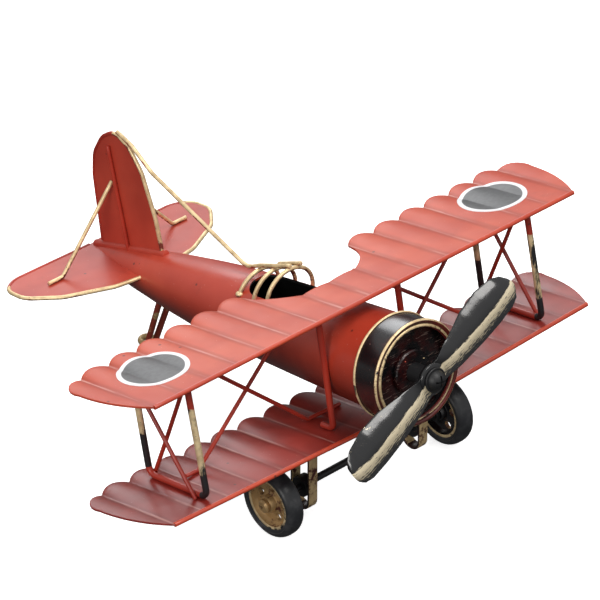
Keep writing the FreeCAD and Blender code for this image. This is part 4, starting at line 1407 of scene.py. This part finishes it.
@dataclass(frozen=True)
class Tail:
    """Fin, tailplane, their wires and the braces between them."""

    end: float = 136.0
    fin_height: float = 39.5
    half_span: float = 34.0
    level: float = 0.3
    tin: float = 0.6
    rim: float = 1.2
    thin: float = 1.15
    brace_top: float = 23.6
    brace_reach: float = 20.0
    brace_foot: float = 5.0

    def build(self, paint: Palette, tube_shape: Fuselage) -> None:
        """Builds every piece of the tail."""
        end, top = self.end, self.fin_height
        root = tube_shape.centre_height(end) + 1.0
        outline = [(0, end - 33.3, root), (0, end - 32.1, 0.42 * top), (0, end - 29.2, 0.75 * top),
                   (0, end - 25.2, 0.92 * top), (0, end - 19.6, top + 0.3), (0, end - 13.4, 0.93 * top),
                   (0, end - 8.6, 0.78 * top), (0, end - 6.8, 0.6 * top), (0, end - 5.5, root)]
        route = bent_route(outline, 9.0, 8)
        lift = tube_shape.centre_height(end - 33) + tube_shape.half_depth(end - 33) - 0.6
        shown = [p for p in finer(route, 1.0) if p.z > lift - 1.5 - 0.05 * (p.y - end + 33)]
        rim = dress(wire(shown, self.rim), paint["rim_gold_red"])
        dress_where(rim, paint["wire_enamel"], lambda centre, normal: centre.y > end - 19.0)
        place("fin_rim_wire", rim, "fin_edge_wire", "gold_over_black_wire")
        flat = sheet_from_outline([Vector((p.y, p.z, 0)) for p in route], self.tin)
        flat.data.transform(Matrix(((0, 0, 1, 0), (1, 0, 0, 0), (0, 1, 0, 0), (0, 0, 0, 1))))
        seam = [Vector((0, y, tube_shape.centre_height(y) + tube_shape.half_depth(y) + 0.1))
                for y in (end - 34.5, end - 26, end - 18, end - 10, end - 2)]
        flange = dress(wire(seam, 2.4), paint["tail_enamel"])
        join(dress(flat, paint["tail_enamel"]), flange)
        place("fin_sheet", flat, "fin", "red_tin", smooth=30)
        rib_x = self.tin / 2 + self.thin / 2
        low = tube_shape.centre_height(end - 18) + tube_shape.half_depth(end - 18) - 0.5
        ribs = [wire([Vector((side * rib_x, end - 18.2, low)), Vector((side * rib_x, end - 16.4, top - 4.6))],
                     self.thin) for side in SIDES.values()]
        place("fin_ribs", dress(join(*ribs), paint["wire_enamel"]), "fin_rib_wires", "red_wire")
        self.build_tailplane(paint)

    def build_tailplane(self, paint: Palette) -> None:
        """Builds the tailplane, its rims and the braces up to the fin."""
        end, level = self.end, self.level
        outline = [(1.5, end - 30.6, level), (14, end - 28.2, level), (27, end - 20.8, level),
                   (self.half_span, end - 12.0, level), (self.half_span - 0.3, end - 4.0, level),
                   (self.half_span - 5.0, end - 0.4, level), (1.5, end - 0.8, level)]
        route = bent_route(outline, 8.0, 8)
        shown = [p for p in route if p.x >= 1.5]
        rim = dress(wire(shown, self.rim), paint["rim_gold_red"])
        dress_where(rim, paint["wire_enamel"], lambda centre, normal: centre.y > end - 3.0)
        place_pair("tailplane_rim", rim, "tailplane_edge_wire", "gold_over_black_wire")
        whole = [p.copy() for p in route] + [Vector((-p.x, p.y, p.z)) for p in reversed(route)]
        sheet = sheet_from_outline([Vector((p.x, p.y, 0)) for p in whole], self.tin)
        sheet.data.transform(Matrix.Translation((0, 0, level)))
        place("tailplane_sheet", dress(sheet, paint["tail_enamel"]), "tailplane", "red_tin", smooth=30)
        top = level + self.tin / 2 + self.thin / 2
        brace = wire(bent_route([(self.tin / 2, end - 15.0, self.brace_top), (self.brace_reach, end - 12.0, top),
                                 (self.brace_reach + self.brace_foot, end - 12.0, top)], 1.2), self.thin)
        place_pair("tail_brace_wire", dress(brace, paint["wire_gold"]), "tail_brace", "gold_over_black_wire")


@dataclass(frozen=True)
class Canopy:
    """Three wire hoops over the cockpit and the long wire from the fin."""

    back: float = 60.0
    pitch: float = 6.4
    crown: float = 13.2
    crown_step: float = 1.8
    foot: float = 6.9
    foot_step: float = 0.6
    rake: float = 1.6
    wire_size: float = 1.2
    side_x: float = 3.4

    def hoop(self, number: int, tube_shape: Fuselage) -> tuple[Point, Point, Point]:
        """Foot, crown and foot of a hoop, counted from the back."""
        y = self.back - number * self.pitch
        foot = self.foot + number * self.foot_step
        low = tube_shape.centre_height(y) + math.sqrt(tube_shape.half_depth(y) ** 2 - foot ** 2) - 0.3
        crown = (0, y, self.crown + number * self.crown_step)
        return (foot, y + self.rake, low), crown, (-foot, y + self.rake, low)

    def build(self, paint: Palette, tube_shape: Fuselage, fin_height: float, end: float) -> None:
        """Builds the hoops, the spine wire and the side wire."""
        for number, name in enumerate(("back", "middle", "front")):
            first, crown, last = self.hoop(number, tube_shape)
            mesh = wire(arc_route(first, crown, last), self.wire_size, 0.15, number)
            if name == "back":
                join(mesh, bead_at((last[0], last[1], last[2] + 0.3), 1.0))
            place("canopy_hoop_wire_" + name, dress(mesh, paint["wire_gold"]), "canopy_hoop_" + name,
                  "gold_over_black_wire")
        front = self.back - 2 * self.pitch
        crown = self.crown + 2 * self.crown_step
        route = bent_route([(0, end - 20.6, fin_height + 0.5), (0, end - 26.3, fin_height - 2.1),
                            (0, end - 33.8, fin_height - 8.6), (0, self.back + 5.5, self.crown - 0.9),
                            (0, self.back, self.crown + self.wire_size),
                            (0, front - 0.6, crown + self.wire_size)], 6.0)
        spine = wire(route, self.wire_size, 0.0)
        place("spine_wire_long", dress(spine, paint["spine_gold"]), "spine_wire", "gold_over_black_wire")
        ends = []
        for number in (1, 2):
            (foot, y, low), (_, crown_y, high), _ = self.hoop(number, tube_shape)
            rise = high - (low - 0.3)
            radius = (foot ** 2 + rise ** 2) / (2 * rise)
            ends.append(Vector((self.side_x, crown_y, high - radius + math.sqrt(radius ** 2 - self.side_x ** 2)
                                + 0.97 * self.wire_size)))
        along = (ends[1] - ends[0]) / self.pitch
        side = wire([ends[0] - along * 2.2, ends[1] + along], self.wire_size)
        place("canopy_side_wire_short", dress(side, paint["spine_gold"]), "canopy_side_wire",
              "gold_over_black_wire")


@dataclass(frozen=True)
class LandingGear:
    """Hairpin legs, axle, wheels and tail skid, standing on the ground."""

    wheel_radius: float = 10.0
    tyre_width: float = 5.6
    rim_radius: float = 7.4
    rim_width: float = 4.4
    track: float = 61.6
    axle_radius: float = 1.0
    boss_radius: float = 2.4
    cap_radius: float = 1.9
    cap_thickness: float = 1.3
    leg_track: float = 40.0
    leg_width: float = 3.0
    leg_strip: float = 0.8
    leg_span: float = 7.5
    leg_drop: float = 7.0
    play: float = 0.12
    slip: float = 0.05
    skid_y: float = 110.0
    skid_ring: float = 1.8
    skid_wire: float = 1.8
    hole_ring: float = 4.4
    hole_radius: float = 1.15

    @property
    def centre(self) -> Point:
        """The point on the wheels' axis in the middle of the model."""
        return (0, WHEEL_Y, self.wheel_radius)

    def build(self, paint: Palette, lower: Wing, tube_shape: Fuselage) -> None:
        """Builds the gear and the skid."""
        half, hub_half = self.track / 2, self.rim_width / 2 + 0.4
        cap_start = half + hub_half + self.play
        axle_end = cap_start + self.cap_thickness * 0.7
        axle = turned([(-axle_end, self.axle_radius), (axle_end, self.axle_radius)], "X", 32, centre=self.centre)
        place("axle_rod", dress(axle, paint["axle_black"]), "axle", "black_hardware", Frame.GROUND)
        for name, body in (("port", Body.WHEEL_PORT), ("starboard", Body.WHEEL_STARBOARD)):
            side = SIDES[name]
            for part, mesh, slot in self.side_parts(paint, lower, half, hub_half, cap_start):
                moving = part in ("tyre", "wheel_rim")
                mesh = mesh if side > 0 else self.flipped(mesh)
                place(f"{part}_shape_{name}", mesh, f"{part}_{name}", slot, Frame.GROUND,
                      body=body if moving else Body.AIRFRAME)
        self.build_skid(paint, tube_shape)

    def flipped(self, mesh: bpy.types.Object) -> bpy.types.Object:
        """The mesh moved to the other side."""
        twin = mirrored(mesh)
        bpy.data.objects.remove(mesh)
        return twin

    def side_parts(self, paint: Palette, lower: Wing, half: float, hub_half: float,
                   cap_start: float) -> list[tuple[str, bpy.types.Object, str]]:
        """Leg, bush, cap, collar, tyre and wheel of the port side, dressed."""
        at = self.centre
        collar_start = half - hub_half - self.play - 1.2
        cap_end = cap_start + self.cap_thickness
        cap_rows = [(cap_start, self.axle_radius), (cap_start, self.cap_radius - 0.1),
                    (cap_start + 0.15, self.cap_radius), (cap_start + 0.8, self.cap_radius),
                    (cap_end, self.cap_radius - 0.55), (cap_end, 0.3), (cap_end - 0.38, 0.3),
                    (cap_end - 0.38, self.axle_radius)]
        leg_x = self.leg_track / 2 - self.leg_width / 2
        inner = self.leg_span / 2 - self.leg_strip
        bush = tube(leg_x, leg_x + self.leg_width, inner, self.axle_radius, "X", 0.1, at, 48)
        collar = tube(collar_start, collar_start + 1.2, self.cap_radius, self.axle_radius, "X", 0.15, at, 40)
        return [("gear_leg", self.leg(paint, lower, leg_x), "gear_strip"),
                ("axle_bush", dress(bush, paint["screw_black"]), "black_hardware"),
                ("axle_cap", dress(turned(cap_rows, "X", 48, True, at), paint["wheel_gold"]), "black_hardware"),
                ("axle_collar", dress(collar, paint["axle_black"]), "black_hardware"),
                ("tyre", dress(self.tyre(half), paint["tyre_rubber"]), "black_rubber"),
                ("wheel_rim", self.wheel(paint, half, hub_half), "wheel_gold")]

    def tyre(self, half: float) -> bpy.types.Object:
        """A fat round tyre with a soft step where it meets the wheel."""
        wide, high, low = self.tyre_width / 2, self.wheel_radius, self.rim_radius
        rows = [(-self.rim_width / 2, low), (-self.rim_width / 2 - 0.22, low + 0.45)]
        bulge = 0.86
        for step in range(25):
            angle = math.radians(-28 + 236 * step / 24)
            x = -math.cos(angle)
            z = math.sin(angle)
            rows.append((wide * math.copysign(abs(x) ** bulge, x),
                         low + 1.0 + (high - low - 1.0) * (z if z > 0 else z * 0.3)))
        rows += [(self.rim_width / 2 + 0.22, low + 0.45), (self.rim_width / 2, low)]
        rows = [(half + x, radius) for x, radius in rows]
        return turned(rows, "X", 112, True, self.centre)

    def wheel(self, paint: Palette, half: float, hub_half: float) -> bpy.types.Object:
        """A dished wheel with five round holes, a raised boss and a thin outer bead."""
        wide, radius, bore = self.rim_width / 2, self.rim_radius, self.axle_radius + self.slip
        rows = [(hub_half, bore), (hub_half, self.boss_radius - 0.25), (hub_half - 0.25, self.boss_radius),
                (0.9, self.boss_radius + 0.15), (0.6, self.boss_radius + 0.7), (0.6, radius - 1.6),
                (wide - 0.9, radius - 1.0), (wide - 0.12, radius - 0.75), (wide, radius - 0.5),
                (wide, radius - 0.02),
                (-wide, radius - 0.02), (-wide, radius - 0.5), (-wide + 0.12, radius - 0.75),
                (-wide + 0.9, radius - 1.0), (-0.6, radius - 1.6), (-0.6, self.boss_radius + 0.7),
                (-0.9, self.boss_radius + 0.15), (-hub_half + 0.25, self.boss_radius),
                (-hub_half, self.boss_radius - 0.25), (-hub_half, bore)]
        wheel = turned([(half + x, r) for x, r in rows], "X", 112, True, self.centre)
        for turn in range(5):
            angle = math.tau * turn / 5
            spot = (half, WHEEL_Y - self.hole_ring * math.sin(angle),
                    self.wheel_radius + self.hole_ring * math.cos(angle))
            cut_away(wheel, drawn(bpy.ops.mesh.primitive_cylinder_add, vertices=32, radius=self.hole_radius,
                                  depth=8, location=spot, rotation=(0, math.pi / 2, 0)))
        soften(wheel, 0.1, 2, 50)
        dress(wheel, paint["wheel_gold"])

        def bead(centre: Vector, normal: Vector) -> bool:
            away = math.hypot(centre.y - WHEEL_Y, centre.z - self.wheel_radius)
            return away > radius - 0.7

        dress_where(wheel, paint["cowl_enamel"], lambda centre, normal: centre.x < half - 0.5)
        dress_where(wheel, paint["rim_gold"], bead)
        return wheel

    def leg(self, paint: Palette, lower: Wing, leg_x: float) -> bpy.types.Object:
        """A strip bent into a hairpin round the axle, its ends under the lower wing."""
        outer, inner = self.leg_span / 2, self.leg_span / 2 - self.leg_strip
        bend_z = self.wheel_radius - self.leg_drop + outer
        middle = (outer + inner) / 2
        turn = math.radians(STANCE.nose_up)

        def ceiling(y: float) -> float:
            level = y
            for _ in range(6):
                sheet = lower.height(leg_x + self.leg_width / 2, level)
                level = (y - math.sin(turn) * sheet) / math.cos(turn)
            under = lower.height(leg_x + self.leg_width / 2, level) - 0.62
            return STANCE.cowl_height - level * math.sin(turn) + under * math.cos(turn)

        front, back = WHEEL_Y - middle, WHEEL_Y + middle
        route = [Vector((0, front, ceiling(front)))]
        for k in range(21):
            angle = math.pi * k / 20
            route.append(Vector((0, WHEEL_Y - middle * math.cos(angle), bend_z - middle * math.sin(angle))))
        route.append(Vector((0, back, ceiling(back))))
        stations = finer(route, 1.5)
        strip = drawn(bpy.ops.mesh.primitive_grid_add, x_subdivisions=1, y_subdivisions=len(stations) - 1, size=2)
        for vertex in strip.data.vertices:
            row = round((vertex.co.y + 1) / 2 * (len(stations) - 1))
            spot = stations[row]
            vertex.co = (leg_x + (vertex.co.x + 1) / 2 * self.leg_width, spot.y, spot.z)
        apply_modifier(strip, "SOLIDIFY", thickness=self.leg_strip, offset=0.0)
        soften(strip, 0.14, 2, 50)
        tidy_mesh(strip)
        dress(strip, paint["leg_dark"])
        dress_where(strip, paint["leg_gold"], lambda centre, normal: normal.y < -0.35)
        return strip

    def build_skid(self, paint: Palette, tube_shape: Fuselage) -> None:
        """Builds the two-legged skid and its flat eyelet."""
        half = self.skid_wire / 2
        eyelet = dress(torus((0, self.skid_y, half), self.skid_ring, half, (0, 0, 0)), paint["eyelet_gold"])
        turn = math.radians(STANCE.nose_up)
        y, z = tube_shape.length - 32.0, tube_shape.centre_height(104.0) - 5.0
        top = Vector((0, y * math.cos(turn) + z * math.sin(turn),
                      STANCE.cowl_height - y * math.sin(turn) + z * math.cos(turn)))
        legs = []
        for side in SIDES.values():
            foot = Vector((side * 1.5, self.skid_y - self.skid_ring, half + 0.1))
            leg = wire([foot, Vector((side * 2.2, top.y, top.z))], self.skid_wire)
            legs.append(dress(leg, paint["skid_red"]))
        place("tail_skid_wires", join(eyelet, *legs), "tail_skid", "red_wire", Frame.GROUND)


# ------------------------------------------------------------------ surroundings
class Studio:
    """The pale floor, the soft light and the camera."""

    def build(self) -> None:
        """Sets everything up."""
        self.floor()
        self.light()
        self.camera()

    def floor(self) -> None:
        """A wide pale sheet that glows evenly white and is hidden from diffuse and glossy rays; then the
        backdrop.
        """
        plane = drawn(bpy.ops.mesh.primitive_plane_add, size=6)
        plane.name = "floor"
        plane.location.z = -0.0001
        plane.data.materials.append(self.white("studio_white", Base_Color=(0.93, 0.93, 0.93, 1), Roughness=0.85,
                                               Emission_Strength=0.74))
        plane.visible_diffuse = plane.visible_glossy = False
        self.backdrop()

    def white(self, name: str, **inputs: object) -> bpy.types.Material:
        """A surface that glows white.

        Args:
            name: the material's name.
            inputs: the shader's other inputs, with spaces written as underscores.

        Returns:
            The material.
        """
        material = bpy.data.materials.new(name)
        material.use_nodes = True
        tree = material.node_tree
        Graph(tree).feed(tree.nodes["Principled BSDF"], Emission_Color=(1, 1, 1, 1), **inputs)
        return material

    def backdrop(self) -> None:
        """A white dome behind everything that neither lights the model nor shades it."""
        dome = drawn(bpy.ops.mesh.primitive_uv_sphere_add, segments=48, ring_count=24, radius=3.5)
        dome.name = "backdrop"
        dome.data.materials.append(self.white("backdrop_white", Base_Color=(0, 0, 0, 1), Specular_IOR_Level=0.0,
                                              Emission_Strength=1.0))
        dome.visible_diffuse = dome.visible_glossy = dome.visible_shadow = dome.visible_transmission = False

    def light(self) -> None:
        """A bright even room with one large lamp above."""
        scene = bpy.context.scene
        world = bpy.data.worlds.new("room")
        world.use_nodes = True
        graph = Graph(world.node_tree)
        back = world.node_tree.nodes["Background"]
        sky = graph.ramp(graph.axes(graph.add("ShaderNodeTexCoord").outputs["Generated"])["Z"], -0.45, 0.55)
        graph.feed(back, Color=graph.mix(sky, (0.10, 0.10, 0.10, 1), (1.0, 1.0, 1.0, 1)), Strength=0.62)
        scene.world = world
        lamps = [("key", (0.10, -0.30, 0.75), 0.40, 2.8, (1.0, 0.98, 0.95)),
                 ("side", (-0.62, -0.22, 0.34), 0.30, 1.7, (1.0, 0.98, 0.95)),
                 ("back", (0.35, 0.60, 0.45), 0.45, 2.0, (0.97, 0.98, 1.0))]
        for name, spot, size, power, colour in lamps:
            lamp = bpy.data.lights.new(name, "AREA")
            lamp.shape, lamp.size, lamp.energy, lamp.color = "DISK", size, power, colour
            holder = bpy.data.objects.new(name, lamp)
            holder.location = spot
            holder.rotation_euler = (Vector((0, 0, 0.03)) - Vector(spot)).to_track_quat("-Z", "Y").to_euler()
            bpy.context.collection.objects.link(holder)
        scene.view_settings.view_transform = "Standard"
        scene.view_settings.look = "None"

    def camera(self) -> None:
        """A long lens from ahead of the starboard wing and above."""
        low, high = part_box("tyre_port")
        ahead = (low.y + high.y) / 2 - WHEEL_Y / 1000
        camera = bpy.data.cameras.new("camera")
        camera.lens, camera.sensor_width = 257.45, 36.0
        holder = bpy.data.objects.new("camera", camera)
        azimuth, elevation = math.radians(41.77), math.radians(34.71)
        turn = Matrix.Rotation(-azimuth, 4, "Z") @ Matrix.Rotation(math.pi / 2 - elevation, 4, "X")
        holder.matrix_world = Matrix.Translation((-0.62565, -0.65513 + ahead, 0.69858)) @ turn
        bpy.context.collection.objects.link(holder)
        bpy.context.scene.camera = holder


def main() -> None:
    """Builds the whole model."""
    logging.basicConfig(level=logging.INFO, format="%(name)s: %(message)s")
    noise.seed_set(WAVER_SEED)
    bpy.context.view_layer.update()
    paint = Palette()
    tube_shape = Fuselage()
    upper = Wing("upper_wing", (13.6, 18.6), 0.0, True, "wing_enamel", "hem_enamel")
    # the lower wing wears the darker enamel, painted shade under the upper wing
    lower = Wing("lower_wing", (13.1, -17.6), 1.9, False, "lower_wing_shaded_enamel", "hem_enamel")
    tube_shape.build(paint)
    Cowl().build(paint)
    Propeller().build(paint)
    for wing in (upper, lower):
        wing.build(paint)
    Badges().build(paint, upper)
    Struts().build(paint, upper, lower, tube_shape)
    tail = Tail()
    tail.build(paint, tube_shape)
    Canopy().build(paint, tube_shape, tail.fin_height, tail.end)
    LandingGear().build(paint, lower, tube_shape)
    Studio().build()
    clear_selection()


if __name__ == "__main__":
    main()
